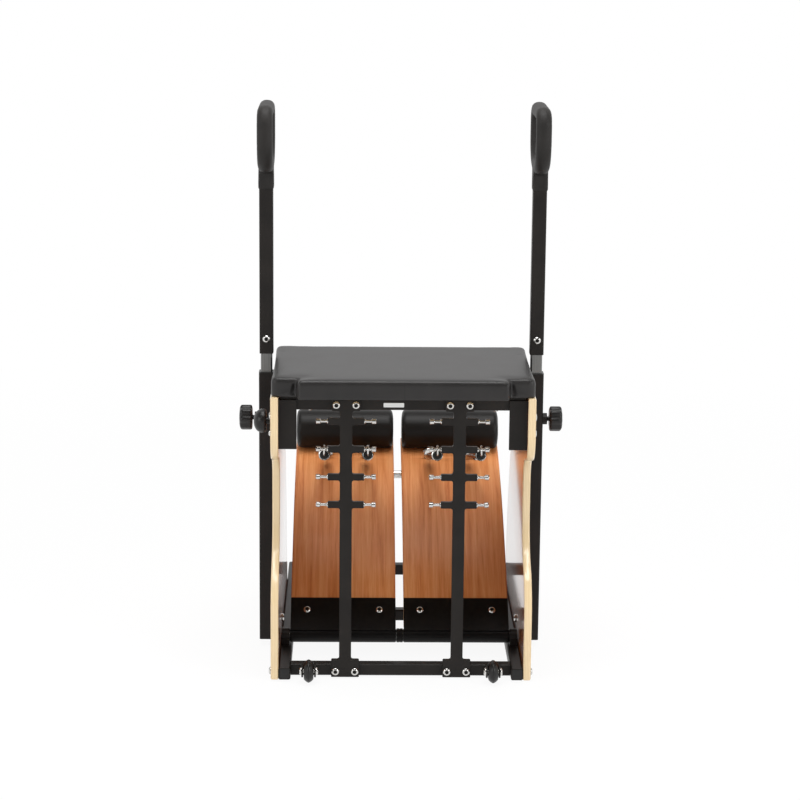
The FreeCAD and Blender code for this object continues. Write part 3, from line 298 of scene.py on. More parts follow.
# Hinge steel in a darker copy of the frame's black, as painted shade for the shade under the seat: deep black
# and even, with a ripple of about 9 mm
hinge_shade_black = noise_finish(
    "black_steel_darkened_as_shade", {"ripple": ((9, 9, 9), 2)}, ("ripple", [(0.3, "#0a0807"), (0.7, "#110e0c")]),
    ("ripple", 0.34, 0.46), ("ripple", 0.05, 0.3), IOR=1.5, Specular_IOR_Level=0.15)
# Aluminium sheet, brushed and anodised: pale, with lines of 0.2 mm, 25 mm long, drawn 0.6 mm wide to show
plate_finish = noise_finish(
    "brushed_anodised_aluminium", {"lines": ((25, 0.6, 0.6), 2)},
    ("lines", [(0.3, "#d2d2d0"), (0.7, "#e6e6e4")]), ("lines", 0.28, 0.42), Metallic=1)


# Points on the pedals and springs

def pedal_up(along):
    """Way out of a pedal's upper face at a length along it."""
    turn = pedal_rise - along / arc_radius
    return Vector((0, -math.sin(turn), math.cos(turn)))


def pedal_point(along, lift):
    """Point over the middle of the chair, at a length along a pedal's upper face and a lift from it."""
    return arc_centre + pedal_up(along) * (arc_radius + lift)


def spring_point(x, reach, lift):
    """Point at a reach along a spring's line from its peg and a lift square to it."""
    along = Vector((0, math.cos(spring_slope), math.sin(spring_slope)))
    up = Vector((0, -math.sin(spring_slope), math.cos(spring_slope)))
    return spring_peg + ACROSS * x + along * reach + up * lift


# Shells: each is a list of points and a list of faces

def skin(rings, loop=False):
    """Shell through rings of equally many points, closed at its ends or into a loop."""
    count = len(rings[0])
    points = [point for ring in rings for point in ring]
    faces = []
    last = len(rings) if loop else len(rings) - 1
    for k in range(last):
        here, there = k * count, (k + 1) % len(rings) * count
        for i in range(count):
            j = (i + 1) % count
            faces.append((here + i, here + j, there + j, there + i))
    if not loop:
        faces.append(tuple(reversed(range(count))))
        faces.append(tuple(range(len(points) - count, len(points))))
    return points, faces


def ring_round(centre, u, v, radius, sides, outline=None):
    """Points round a centre in the plane of u and v; outline gives each angle's share of the radius."""
    ring = []
    for i in range(sides):
        turn = 2 * math.pi * i / sides
        r = radius * outline(turn) if outline else radius
        ring.append(centre + u * (r * math.cos(turn)) + v * (r * math.sin(turn)))
    return ring


def turned(base, axis, steps, sides, outline=None):
    """Piece turned round an axis through steps of reach and radius; outline shapes its rings by angle."""
    u = axis.orthogonal().normalized()
    v = axis.cross(u)
    return skin([ring_round(base + axis * reach, u, v, radius, sides, outline) for reach, radius in steps])


def mirrored(half, width):
    """Steps of a turned piece that is the same from both ends."""
    return half + [(width - reach, radius) for reach, radius in reversed(half)]


def chamfered(length, radius):
    """Steps of a round bar with small chamfers at its ends."""
    cut = 0.8
    return mirrored([(0, radius - cut), (cut, radius)], length)


def sleeve(start, reach, bore, steps):
    """Ring turned round X: its outside through steps, then back along its bore."""
    path = [(0, bore)] + steps + [(reach, bore)]
    return skin([ring_round(start + ACROSS * a, ALONG, UP, r, sides=48) for a, r in path], loop=True)


def bent_wire(path, radius, sides, loop=False):
    """Round wire or bar along a line of points."""
    count = len(path)
    side = None
    rings = []
    for k in range(count):
        before = path[k - 1] if loop or k > 0 else path[k]
        after = path[(k + 1) % count] if loop or k < count - 1 else path[k]
        way = (after - before).normalized()
        side = way.orthogonal() if side is None else side - way * side.dot(way)
        side = side.normalized()
        rings.append(ring_round(path[k], side, way.cross(side), radius, sides))
    return skin(rings, loop)


def rounded(corners, steps=6):
    """Outline with each corner (x, y, radius) rounded off."""
    points = []
    for i, (x, y, radius) in enumerate(corners):
        here = Vector((x, y))
        if radius <= 0:
            points.append(here)
            continue
        before = Vector(corners[i - 1][:2]) - here
        after = Vector(corners[(i + 1) % len(corners)][:2]) - here
        enter = here + before.normalized() * radius
        leave = here + after.normalized() * radius
        for k in range(steps + 1):
            t = k / steps
            points.append(enter * (1 - t) ** 2 + here * (2 * t * (1 - t)) + leave * t ** 2)
    return points


def both_sides(right):
    """Corners of an outline that is the same on its left, from those of its right half."""
    return right + [(-x, y, radius) for x, y, radius in reversed(right)]


def upright_plate(outline, depths, x=0):
    """Plate across the chair between two depths; its outline is shifted by x."""
    return skin([[Vector((x + p[0], depth, p[1])) for p in outline] for depth in depths])


def merged(shells):
    """One shell of several."""
    points, faces = [], []
    for shell_points, shell_faces in shells:
        start = len(points)
        points += shell_points
        faces += [tuple(start + i for i in face) for face in shell_faces]
    return points, faces


# Pieces

crease_angle = math.radians(35)
bevel_angle = math.radians(30)


def new_piece(name, shells, finish):
    """Smooth-shaded mesh of some shells, with sharp edges kept where it turns more than the crease angle."""
    points, faces = merged(shells)
    mesh = bpy.data.meshes.new(name)
    mesh.from_pydata([tuple(point * MM) for point in points], [], faces)
    work = bmesh.new()
    work.from_mesh(mesh)
    bmesh.ops.recalc_face_normals(work, faces=work.faces)
    work.to_mesh(mesh)
    work.free()
    mesh.shade_smooth()
    mesh.set_sharp_from_angle(angle=crease_angle)
    mesh.materials.append(finish)
    piece = bpy.data.objects.new(name, mesh)
    scene.collection.objects.link(piece)
    return piece


def join(piece, body, node=None):
    """Set a piece on a body, in the place of a CAD node where there is one."""
    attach(piece, body)
    if node:
        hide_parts(node)


def fit_piece(name, shells, slot, body, node=None, finish=None):
    """New piece joined to the chair, in its slot's finish or one of its own."""
    piece = new_piece(name, shells, finish or finishes[slot])
    join(piece, body, node)
    return piece


def solids_of(node):
    """Corners of each separate solid of a node."""
    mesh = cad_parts[node].data
    welded, ids, places = {}, [], []
    for vertex in mesh.vertices:
        key = tuple(round(c, 6) for c in vertex.co)
        if key not in welded:
            welded[key] = len(places)
            places.append(Vector(vertex.co) / MM)
        ids.append(welded[key])
    root = list(range(len(places)))

    def top(i):
        while root[i] != i:
            root[i] = root[root[i]]
            i = root[i]
        return i

    for polygon in mesh.polygons:
        corners = [ids[i] for i in polygon.vertices]
        for corner in corners[1:]:
            root[top(corner)] = top(corners[0])
    groups = {}
    for i, place in enumerate(places):
        groups.setdefault(top(i), []).append(place)
    return list(groups.values())


def middle_of(corners):
    """Middle of the box round some corners."""
    low = [min(corner[i] for corner in corners) for i in range(3)]
    high = [max(corner[i] for corner in corners) for i in range(3)]
    return (Vector(low) + Vector(high)) / 2


def eased_edges(piece, width):
    """Small round on the sharp edges of a piece, so that they catch the light."""
    bevel = piece.modifiers.new("eased edges", "BEVEL")
    bevel.width = width * MM
    bevel.segments = 2
    bevel.limit_method = "ANGLE"
    bevel.angle_limit = bevel_angle
    bevel.harden_normals = True


# Bolts and pegs

bolt_sides = 36
# Shares of the head's height and radius
bolt_dome = [(0, 1), (0.3, 1), (0.52, 0.95), (0.74, 0.85), (0.9, 0.74), (0.98, 0.66), (1, 0.6)]
bolt_socket = [(1, 0.55), (0.96, 0.53), (0.3, 0.5)]


def hexagon(turn):
    """Outline of a hexagon against the circle through its corners."""
    return math.cos(math.pi / 6) / math.cos((turn + math.pi / 6) % (math.pi / 3) - math.pi / 6)


def bolt_head(corners):
    """Domed head with a hexagon socket, in the place of a plain CAD head."""
    cloud = np.array([tuple(corner) for corner in corners])
    centre = cloud.mean(axis=0)
    # The head is thinnest along its axis, which points to its narrower end
    axis = np.linalg.eigh(np.cov((cloud - centre).T))[1][:, 0]
    heights = (cloud - centre) @ axis
    radii = np.linalg.norm((cloud - centre) - np.outer(heights, axis), axis=1)
    if radii[heights > 0].mean() > radii[heights < 0].mean():
        axis, heights = -axis, -heights
    radius, height = radii.max(), heights.max() - heights.min()
    axis, base = Vector(axis), Vector(centre + axis * heights.min())
    u = axis.orthogonal().normalized()
    v = axis.cross(u)
    rings = []
    for steps, outline in ((bolt_dome, None), (bolt_socket, hexagon)):
        for reach, share in steps:
            centre = base + axis * (reach * height)
            rings.append(ring_round(centre, u, v, share * radius, bolt_sides, outline))
    return skin(rings)


def fit_bolts(name, node, body):
    """Heads in the place of a node's plain ones, with their sockets painted black as painted shade."""
    shells = [bolt_head(corners) for corners in solids_of(node)]
    piece = fit_piece(name, shells, "bright_steel", body, node)
    # The socket's walls and floor take the black steel finish: painted shade, standing in for the shade deep
    # in each socket.
    piece.data.materials.append(finishes["black_steel"])
    # A head's faces run from its foot to the socket's floor, and its two end faces come last
    count = len(shells[0][1])
    socket_start = bolt_sides * len(bolt_dome)
    for polygon in piece.data.polygons:
        at = polygon.index % count
        if socket_start <= at < count - 2 or at == count - 1:
            polygon.material_index = 1


fit_bolts("frame_bolt_heads", "frame_bolts", "frame")
for side, sign in SIDES:
    fit_bolts("hinge_bolt_heads_" + side, "pedal_bolts_" + side, side + "_pedal")
    fit_bolts("handle_bolt_head_" + side, "handle_bolt_" + side, side + "_handle")

peg_steps = [(0, 5), (1.6, 5), (2.1, 4.5), (2.6, 3.4), (3.4, 3), (14.4, 3), (15, 3.3), (15.5, 4.7),
             (16, 5.4), (16.6, 5.5), (23.2, 5.5), (24, 5.2), (24.5, 4.4)]


def peg_shell(corners):
    """Turned peg: a root collar, a slim neck and a thicker head with eased rims."""
    low, high = min(c.x for c in corners), max(c.x for c in corners)
    tops = [max(c.z for c in corners if abs(c.x - end) < 1) for end in (low, high)]
    axis = ACROSS if tops[1] > tops[0] else -ACROSS
    base = middle_of(corners)
    base.x = low if axis.x > 0 else high
    return turned(base, axis, peg_steps, sides=28)


fit_piece("hook_pegs", [peg_shell(corners) for corners in solids_of("spring_pegs")], "bright_steel", "frame",
          "spring_pegs")


# Spring posts

post_half, plate_half, arm_half = 12.5, 29, 37
foot_low, foot_high, head_low, head_high = 3, 41, 571, 594
arm_heights = [373.5 + 58.5 * i for i in range(4)]
arm_thick = 13.5
root_fillet, foot_corner, plate_corner, arm_corner = 5, 2, 3, 1.2


def spring_post_shell(x):
    """Flat plate cut to a post with a foot, a head and four pairs of arms, filleted at every root."""
    right = [(plate_half, foot_low, foot_corner), (plate_half, foot_high, plate_corner),
             (post_half, foot_high, root_fillet)]
    for height in arm_heights:
        low, high = height - arm_thick / 2, height + arm_thick / 2
        right += [(post_half, low, root_fillet), (arm_half, low, arm_corner), (arm_half, high, arm_corner),
                  (post_half, high, root_fillet)]
    right += [(post_half, head_low, root_fillet), (plate_half, head_low, plate_corner),
              (plate_half, head_high, plate_corner)]
    return upright_plate(rounded(both_sides(right)), (post_rear, bar_rear), x)


for side, sign in SIDES:
    post = fit_piece("hook_post_" + side, [spring_post_shell(sign * post_x)], "black_steel", "frame",
                     "spring_post_" + side)
    eased_edges(post, 0.8)


# Springs: hooks, caps, coils and the eyes on the pedals

hook_radius, hook_wire, hook_drop = 9, 2, 2.616
far_loop = spring_run + 2.7
rear_curl, front_curl = (-90, -325), (-90, 92)
shank_end = 30
plug_start = 24.6
end_start, end_length, end_radius, end_wire = 25, 7.2, 10, 1.8
coil_radius, coil_wire, coil_pitch = 9, 1.75, 4.4
coil_start, coil_end = 33, spring_run - 33
eye_radius, eye_wire, eye_lift = 10.5, 3, 12.5
cap_steps = [(1.4, 2.6), (0.6, 6.6), (0, 7.2), (0.3, 8.4), (1.6, 8.9), (9.6, 8.9), (10, 8.4)]
collar_steps = [(0, 9), (1.5, 9), (2, 8.4), (2.6, 5)]
nut_steps = [(0.05, 6.6), (0.5, 7), (5.5, 7), (6, 6.5)]


def hook_shell(x, centre, cap, curl):
    """Round wire: a shank out of the cap, curled round the pin from one angle of curl to the other."""
    path = [spring_point(x, cap + (centre - cap) * share, -spring_drop) for share in (0, 0.5, 0.85)]
    first, last = curl
    steps = 24
    for k in range(steps + 1):
        turn = math.radians(first + (last - first) * k / steps)
        path.append(spring_point(x, centre + hook_radius * math.cos(turn),
                                 -hook_drop + hook_radius * math.sin(turn)))
    return bent_wire(path, hook_wire, sides=12)


def cap_shell(x, start, way):
    """Plug in the coil's end: a hollow-faced rubber cup."""
    axis = (spring_point(x, 1, 0) - spring_point(x, 0, 0)) * way
    return turned(spring_point(x, start, -spring_drop), axis, cap_steps, sides=32)


def wound(x, start, length, turns, around, radius, wire, sides):
    """Wire wound round a spring's line: turns over a length, with around points to a turn."""
    path = []
    count = turns * around
    for k in range(count + 1):
        turn = 2 * math.pi * k / around
        path.append(spring_point(x + radius * math.cos(turn), start + length * k / count,
                                 -spring_drop + radius * math.sin(turn)))
    return bent_wire(path, wire, sides)


def end_turn_shell(x, start):
    """Closed last two turns of the coil, round the plug."""
    return wound(x, start, end_length, 2, 28, end_radius, end_wire, sides=10)


def coil_shell(x):
    """Close-wound coil from cap to cap."""
    length = coil_end - coil_start
    return wound(x, coil_start, length, round(length / coil_pitch), 14, coil_radius, coil_wire, sides=6)


def eye_shells(x):
    """Ring bolt through the board: ring across the chair, collar and hexagon nut below."""
    up = pedal_up(eye_along)
    centre = pedal_point(eye_along, eye_lift) + ACROSS * x
    top = pedal_point(eye_along, 0) + ACROSS * x
    return [bent_wire(ring_round(centre, ACROSS, up, eye_radius, 40), eye_wire, sides=14, loop=True),
            turned(top, up, collar_steps, sides=32),
            turned(top - up * board_thick, -up, nut_steps, sides=36, outline=hexagon)]


for side, sign in SIDES:
    heads, tails = side + "_spring_heads", side + "_spring_tails"
    places = [sign * x for x in spring_places]
    rear = [hook_shell(x, hook_drop, shank_end, rear_curl) for x in places]
    rear += [end_turn_shell(x, end_start) for x in places]
    fit_piece("rear_hooks_" + side, rear, "bright_steel", heads, "spring_rear_ends_" + side)
    fit_piece("rear_plugs_" + side, [cap_shell(x, plug_start, 1) for x in places], "black_plastic", heads)
    front = [hook_shell(x, far_loop, spring_run - shank_end, front_curl) for x in places]
    front += [end_turn_shell(x, spring_run - end_start - end_length) for x in places]
    fit_piece("front_hooks_" + side, front, "bright_steel", tails, "spring_front_ends_" + side)
    plugs = [cap_shell(x, spring_run - plug_start, -1) for x in places]
    fit_piece("front_plugs_" + side, plugs, "black_plastic", tails)
    coils = new_piece("coils_" + side, [coil_shell(x) for x in places], finishes["bright_steel"])
    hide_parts("springs_" + side)
    middle = sum(places) / 2
    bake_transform(coils)
    eyes = [shell for x in places for shell in eye_shells(x)]
    fit_piece("ring_bolts_" + side, eyes, "bright_steel", side + "_pedal", "spring_eyes_" + side)


# Knobs

clamp_steps = [(0.6, 8), (0, 13), (0, 22), (0.9, 25.4), (2.6, 26.8), (5, 27), (21, 27),
               (23.2, 26.4), (25.2, 24.4), (26.4, 21.2), (27.2, 16), (27.8, 8), (28, 1.5)]
stud_steps = [(0, 4.2), (0.8, 5), (20, 5), (20.4, 4.6)]
ball_steps = [(0.6, 8), (0, 12), (0, 21), (0.7, 23.2), (2.4, 24.6), (5.5, 25), (10, 24.6),
              (14, 23.4), (17.5, 21.4), (20.5, 18.6), (23, 14.8), (24.8, 10.2), (25.7, 5.6), (26, 1)]
neck_steps = [(0, 8.4), (1.2, 8.4), (1.8, 7), (10.2, 7)]
clamp_base, stud_base, ball_base, neck_base = 316.5, 298.6, 280, 270.3


def flutes(turn):
    """Outline of eight soft lobes."""
    return 1 - 0.055 * (1 - math.cos(8 * turn))


for side, sign in SIDES:
    body = side + "_clamp_knob"
    out = ACROSS * sign
    wheel = turned(Vector((sign * clamp_base, handle_y, clamp_height)), out, clamp_steps, 128, flutes)
    fit_piece("clamp_handwheel_" + side, [wheel], "black_plastic", body, "clamp_knob_" + side)
    stud = turned(Vector((sign * stud_base, handle_y, clamp_height)), out, stud_steps, sides=28)
    fit_piece("clamp_stud_" + side, [stud], "black_steel", body)

ball = turned(Vector((-ball_base, side_knob_y, side_knob_z)), -ACROSS, ball_steps, sides=56)
fit_piece("ball_knob", [ball], "black_plastic", "side_knob", "side_knob")
neck = turned(Vector((-neck_base, side_knob_y, side_knob_z)), -ACROSS, neck_steps, sides=32)
fit_piece("ball_knob_neck", [neck], "black_plastic", "side_knob")


# Wheels: narrow and moulded, with flanks that rise to a rounded ridge and a dished web round the hub

wheel_width = 21
wheel_half = [(1.2, 4.1), (0.2, 4.6), (0, 8.2), (0.6, 9), (2.4, 9.6), (3, 11), (2.6, 14),
              (1, 15.2), (0.6, 16.2), (1, 17.4), (2.4, 19), (5, 21.3), (7.4, 22.9), (8.6, 23.5),
              (9.6, 23.9), (10.3, 24)]
pin_steps = [(0, 4), (14.9, 4), (15, 8.2), (16.4, 8.2), (17.6, 7.8), (18.6, 6.9), (19.3, 5.6),
             (19.6, 4.2), (19.6, 3.4), (17.2, 3.2)]
nose_radius, ear_thick, back_thick = 13, 3.5, 4
ear_starts, back_half = (-15, 11.5), 11.5
back_low, back_high = 13, 28

pins, ears = [], []
for side, sign in SIDES:
    centre = Vector((sign * wheel_x, wheel_y, wheel_z))
    roller = turned(centre - ACROSS * (wheel_width / 2), ACROSS, mirrored(wheel_half, wheel_width), sides=64)
    fit_piece("roller_" + side, [roller], "black_plastic", side + "_wheel", "transport_wheel_" + side)
    turns = [math.pi * k / 16 for k in range(17)]
    outline = [(wheel_y - nose_radius * math.sin(t), wheel_z - nose_radius * math.cos(t)) for t in turns]
    outline += [(-372, 38.4), (-352, 29), (bar_rear, back_high), (bar_rear, back_low)]
    for start in ear_starts:
        faces_x = (centre.x + start, centre.x + start + ear_thick)
        ears.append(skin([[Vector((x, y, z)) for y, z in outline] for x in faces_x]))
    back = both_sides([(back_half, back_high, 0), (back_half, back_low, 0)])
    ears.append(upright_plate(back, (bar_rear - back_thick, bar_rear), centre.x))
    pins += [turned(centre, ACROSS * way, pin_steps, sides=32) for way in (-1, 1)]
fit_piece("roller_pins", pins, "bright_steel", "frame", "wheel_axles")
forks = fit_piece("roller_forks", ears, "black_steel", "frame", "wheel_brackets")
eased_edges(forks, 0.5)


# Hinge, its axle, and the rod that joins the pedals

axle_bore, bush_bore, hinge_radius = 8.1, 10.1, 15
leaf_start, leaf_end, leaf_thick = 2, 84, 4
bush_reach, bush_lip = 25.5, 1.5
bush_steps = [(0, 12.9), (0.4, 13.5), (bush_lip, 13.5), (bush_lip, 10), (bush_reach, 10)]
guide_reach, guide_bore, guide_radius = 42, 9.1, 12
guide_places = {"left": (6, 100), "right": (6,)}
spacer_reach = 13.4
spacer_steps = [(0, 14), (0.9, 15), (5.6, 15), (6.1, 14.5), (7.3, 14.5), (7.8, 15), (12.5, 15),
                (13.4, 14)]


def arc_slab(start, end, low, high, x0, x1):
    """Slab that follows the pedal's bend between two lengths and two lifts, in steps of about 8 mm."""
    count = max(2, round((end - start) / 8))
    corners = ((low, x0), (low, x1), (high, x1), (high, x0))
    rings = []
    for k in range(count + 1):
        along = start + (end - start) * k / count
        rings.append([pedal_point(along, lift) + ACROSS * x for lift, x in corners])
    return skin(rings)


for side, sign in SIDES:
    body = side + "_pedal"
    x0, x1 = sorted((sign * pedal_inner, sign * pedal_outer))
    leaf = arc_slab(leaf_start, leaf_end, 0, leaf_thick, x0, x1)
    barrel = sleeve(hinge_centre + ACROSS * x0, x1 - x0, bush_bore, chamfered(x1 - x0, hinge_radius))
    # The hinge leaf and barrel take the darker black: painted shade.
    hinge = fit_piece("hinge_leaf_" + side, [leaf, barrel], "black_steel", body, "hinge_plate_" + side,
                      hinge_shade_black)
    eased_edges(hinge, 0.7)
    far_steps = [(bush_reach - reach, radius) for reach, radius in reversed(bush_steps)]
    far_start = x1 + bush_lip - bush_reach
    liners = [sleeve(hinge_centre + ACROSS * (x0 - bush_lip), bush_reach, axle_bore, bush_steps),
              sleeve(hinge_centre + ACROSS * far_start, bush_reach, axle_bore, far_steps)]
    fit_piece("hinge_liners_" + side, liners, "black_plastic", body, "hinge_bushes_" + side)
    guides = []
    for near in guide_places[side]:
        start = pedal_inner + near if sign > 0 else -pedal_inner - near - guide_reach
        guides.append(sleeve(pedal_point(rod_along, rod_lift) + ACROSS * start, guide_reach, guide_bore,
                             chamfered(guide_reach, guide_radius)))
        guides.append(arc_slab(rod_along - 24, rod_along + 24, -board_thick - 4, -board_thick, start,
                               start + guide_reach))
    fit_piece("rod_sleeves_" + side, guides, "black_steel", body, "rod_guides_" + side)

spacer = sleeve(hinge_centre - ACROSS * (spacer_reach / 2), spacer_reach, axle_bore, spacer_steps)
# The spacer ring takes the darker black too: painted shade.
fit_piece("hinge_spacer_ring", [spacer], "black_steel", "frame", "hinge_spacer", hinge_shade_black)

axle_low, axle_high = [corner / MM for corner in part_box("pedal_axle")]
axle = turned(Vector((axle_low.x, hinge_centre.y, hinge_centre.z)), ACROSS,
              chamfered(axle_high.x - axle_low.x, 8), sides=40)
fit_piece("hinge_rod", [axle], "bright_steel", "frame", "pedal_axle")

rod_low, rod_high = [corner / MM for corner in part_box("joining_rod")]
rod_reach = rod_high.x - rod_low.x
rod_steps = [(0, 8.6), (0.6, 10.2), (1.6, 11), (8.6, 11), (9.6, 10.4), (10, 9),
             (rod_reach - 1.2, 9), (rod_reach, 7.6)]
rod_start = pedal_point(rod_along, rod_lift)
rod_start.x = rod_low.x
fit_piece("coupling_rod", [turned(rod_start, ACROSS, rod_steps, sides=40)], "bright_steel", "joining_rod",
          "joining_rod")


# Grips

loop_corners = [(80, 1047, 56), (80, 1159.5, 24), (-80, 1159.5, 24), (-80, 1047, 56)]
bar_radius, bar_width, bar_power = 15.5, 1.06, 2.3
# Height and half widths across and along the chair
sleeve_levels = [(994, 15.4, 15.4), (995.6, 16.4, 16.4), (1014, 16.4, 16.4), (1026, 16.2, 18.6),
                 (1036, 15.8, 25), (1044, 15.4, 34), (1050, 15, 42)]
sleeve_corner = 4.5


def full_round(turn):
    """Outline of a circle that is a little squared off."""
    return (abs(math.cos(turn)) ** bar_power + abs(math.sin(turn)) ** bar_power) ** (-1 / bar_power)


def loop_shell(x):
    """Loop of full round bar along Y: tight corners above and wide ones below."""
    rings = []
    for i, (y, z, radius) in enumerate(loop_corners):
        y_before, z_before, _ = loop_corners[i - 1]
        y_after, z_after, _ = loop_corners[(i + 1) % 4]
        before = Vector((0, y_before - y, z_before - z)).normalized()
        after = Vector((0, y_after - y, z_after - z)).normalized()
        middle = Vector((x, handle_y + y, z)) + (before + after) * radius
        for k in range(13):
            turn = math.pi / 2 * k / 12
            inward = after * math.cos(turn) + before * math.sin(turn)
            rings.append(ring_round(middle - inward * radius, ACROSS * bar_width, inward, bar_radius, 32,
                                    full_round))
    return skin(rings, loop=True)


def sleeve_shell(x):
    """Square sleeve that flares into the foot of its loop."""
    rings = []
    for height, half_x, half_y in sleeve_levels:
        outline = rounded(both_sides([(half_x, -half_y, sleeve_corner), (half_x, half_y, sleeve_corner)]))
        rings.append([Vector((x + p.x, handle_y + p.y, height)) for p in outline])
    return skin(rings)


def settle(piece):
    """Make a piece's modifiers part of its mesh."""
    view = bpy.context.evaluated_depsgraph_get()
    settled = bpy.data.meshes.new_from_object(piece.evaluated_get(view))
    piece.modifiers.clear()
    old = piece.data
    piece.data = settled
    bpy.data.meshes.remove(old)
    piece.data.shade_smooth()


def knit(piece, voxel):
    """One closed skin over the shells of a piece."""
    remesh = piece.modifiers.new("one skin", "REMESH")
    remesh.mode = "VOXEL"
    remesh.voxel_size = voxel * MM
    settle(piece)


for side, sign in SIDES:
    x = sign * handle_x
    grip = new_piece("loop_grip_" + side, [loop_shell(x), sleeve_shell(x)], finishes["grip_rubber"])
    knit(grip, voxel=2.4)
    soften = grip.modifiers.new("moulded", "SMOOTH")
    soften.factor = 0.5
    soften.iterations = 12
    settle(grip)
    join(grip, side + "_handle", "handle_grip_" + side)


# Padding: seat and foot rolls

cloth_steps = 20
stuffing_pressure = 4


def plump(piece, voxel, most, held):
    """Cloth cover under stuffing pressure: no point moves more than most, and held points stay."""
    knit(piece, voxel)
    before = [vertex.co.copy() for vertex in piece.data.vertices]
    group = piece.vertex_groups.new(name="held")
    group.add([i for i, co in enumerate(before) if held(co / MM)], 1, "REPLACE")
    cover = piece.modifiers.new("cover", "CLOTH")
    cover.settings.vertex_group_mass = "held"
    cover.settings.use_pressure = True
    cover.settings.uniform_pressure_force = stuffing_pressure
    cover.settings.effector_weights.gravity = 0
    cover.point_cache.frame_start = 1
    cover.point_cache.frame_end = cloth_steps
    for step in range(1, cloth_steps + 1):
        scene.frame_set(step)
    view = bpy.context.evaluated_depsgraph_get()
    swollen = [vertex.co.copy() for vertex in piece.evaluated_get(view).data.vertices]
    piece.modifiers.clear()
    piece.vertex_groups.clear()
    for vertex, old, new in zip(piece.data.vertices, before, swollen):
        move = new - old
        if move.length > most * MM:
            move *= most * MM / move.length
        vertex.co = old + move
    scene.frame_set(1)


def refine(piece):
    """One subdivision, made part of the mesh."""
    finer = piece.modifiers.new("finer", "SUBSURF")
    finer.levels = 1
    settle(piece)


seat_half, seat_front, seat_rear = 270, -24.5, -395.5
tongue_half, notch_y = 215, -367.5
seat_corner, tongue_corner = 16, 6
seat_low, seat_high = 602.2, 643.6
# Height and inset of a firm pad with an upright wall, a tight shoulder and a low crown
seat_levels = [(600.5, 2.4), (602.4, 1), (606, 0.2), (612, 0), (631, 0), (635.6, 0.7),
               (638.8, 2.2), (640.8, 4.6), (641.8, 8), (642.2, 22), (642.4, 46)]
cover_pull, notch_tuck = 2, 4


def seat_outline(inset):
    """Plan of the seat: rear corners stepped forward round the panels."""
    reach, tongue = seat_half - inset, tongue_half - inset
    front, notch, rear = seat_front - inset, notch_y + inset, seat_rear + inset
    corner = max(seat_corner - inset, tongue_corner)
    right = [(tongue, rear, tongue_corner), (tongue, notch, 0), (reach, notch, corner),
             (reach, front, corner)]
    return rounded(both_sides(right), 8)


def ease(value, low, high):
    """Smooth step from 0 at low to 1 at high."""
    t = min(max((value - low) / (high - low), 0), 1)
    return t * t * (3 - 2 * t)


def draw_cover(co):
    """Pull the cover in between its corners, and tuck it diagonally into the two rear notches."""
    x, y, z = co
    sign = 1 if x > 0 else -1
    pull_rear = ease(-y, 350, 394) * max(0, 1 - (x / tongue_half) ** 2)
    pull_front = ease(y, -66, -26) * (1 - (x / seat_half) ** 2)
    pull_side = ease(abs(x), 226, 268) * max(0, 1 - ((y + 196) / 171) ** 2)
    # The fold leans in by 10 mm over the seat's height of 39 mm
    fold = abs(x) - (231 - 10 * (z - 602) / 39)
    tuck = ease(-fold, -4, 6) * ease(-y, 356, 366) * ease(abs(x), 210, 214)
    tuck *= ease(z, 603, 610) * ease(-z, -636, -626)
    return Vector((x - sign * cover_pull * pull_side,
                   y + cover_pull * (pull_rear - pull_front) + notch_tuck * tuck,
                   min(max(z, seat_low), seat_high)))


seat_finish = grained_leatherette("grained_leatherette_seat", ("#171514", "#201d1c"), 0.46, (2,),
                                  (0, -1, 0))
seat_rings = [[Vector((p.x, p.y, height)) for p in seat_outline(inset)] for height, inset in seat_levels]
seat = new_piece("seat_pad", [skin(seat_rings)], seat_finish)
plump(seat, voxel=4, most=1, held=lambda co: co.z < 604.5)
refine(seat)
for vertex in seat.data.vertices:
    vertex.co = draw_cover(vertex.co / MM) * MM
join(seat, "frame", "seat_cushion")

pad_up = pedal_up(pad_along)
pad_centre = pedal_point(pad_along, pad_lift)
roll_x, roll_reach = 121, 222
roll_half = [(0.6, 28), (0, 35), (0.8, 39.2), (2.6, 42.2), (5.6, 44.2), (9, 44.9), (16, 45)]
roll_finish = grained_leatherette("grained_leatherette_rolls", ("#100e0c", "#171412"), 0.22,
                                  (-224, -18, 18, 224), tuple(pad_up))


def rested(point, depth):
    """Point of a roll, lifted where it is deeper below the roll's axis than the board allows."""
    drop = (point - pad_centre).dot(pad_up) + depth
    return point - pad_up * min(drop, 0)


for side, sign in SIDES:
    start = pad_centre + ACROSS * (sign * roll_x - roll_reach / 2)
    points, faces = turned(start, ACROSS, mirrored(roll_half, roll_reach), sides=72)
    points = [rested(point, depth=40.7) for point in points]
    roll = new_piece("foot_roll_" + side, [(points, faces)], roll_finish)
    plump(roll, voxel=5, most=1.2, held=lambda co: (co - pad_centre).dot(pad_up) < -39.5)
    refine(roll)
    for vertex in roll.data.vertices:
        vertex.co = rested(vertex.co / MM, depth=40.8) * MM
    join(roll, side + "_pedal", "foot_pad_" + side)


# Rubber feet and the blank plate on the upper crossbar

foot_steps = [(0, 9.6), (0.4, 10.5), (1, 10.9), (2.4, 10.9), (3, 10.6)]
feet = []
for corners in solids_of("rubber_feet"):
    middle = middle_of(corners)
    feet.append(turned(Vector((middle.x, middle.y, 0)), UP, foot_steps, sides=32))
fit_piece("floor_pads", feet, "grip_rubber", "frame", "rubber_feet")

plate_corners = [(-40, 577.4, 1.6), (2, 577.4, 1.6), (2, 586.6, 1.6), (-40, 586.6, 1.6)]
plate = upright_plate(rounded(plate_corners), (bar_rear, bar_rear - 0.8))
blank_plate = fit_piece("blank_plate", [plate], "grey_steel", "frame", finish=plate_finish)
eased_edges(blank_plate, 0.25)


# CAD pieces that keep their own shape

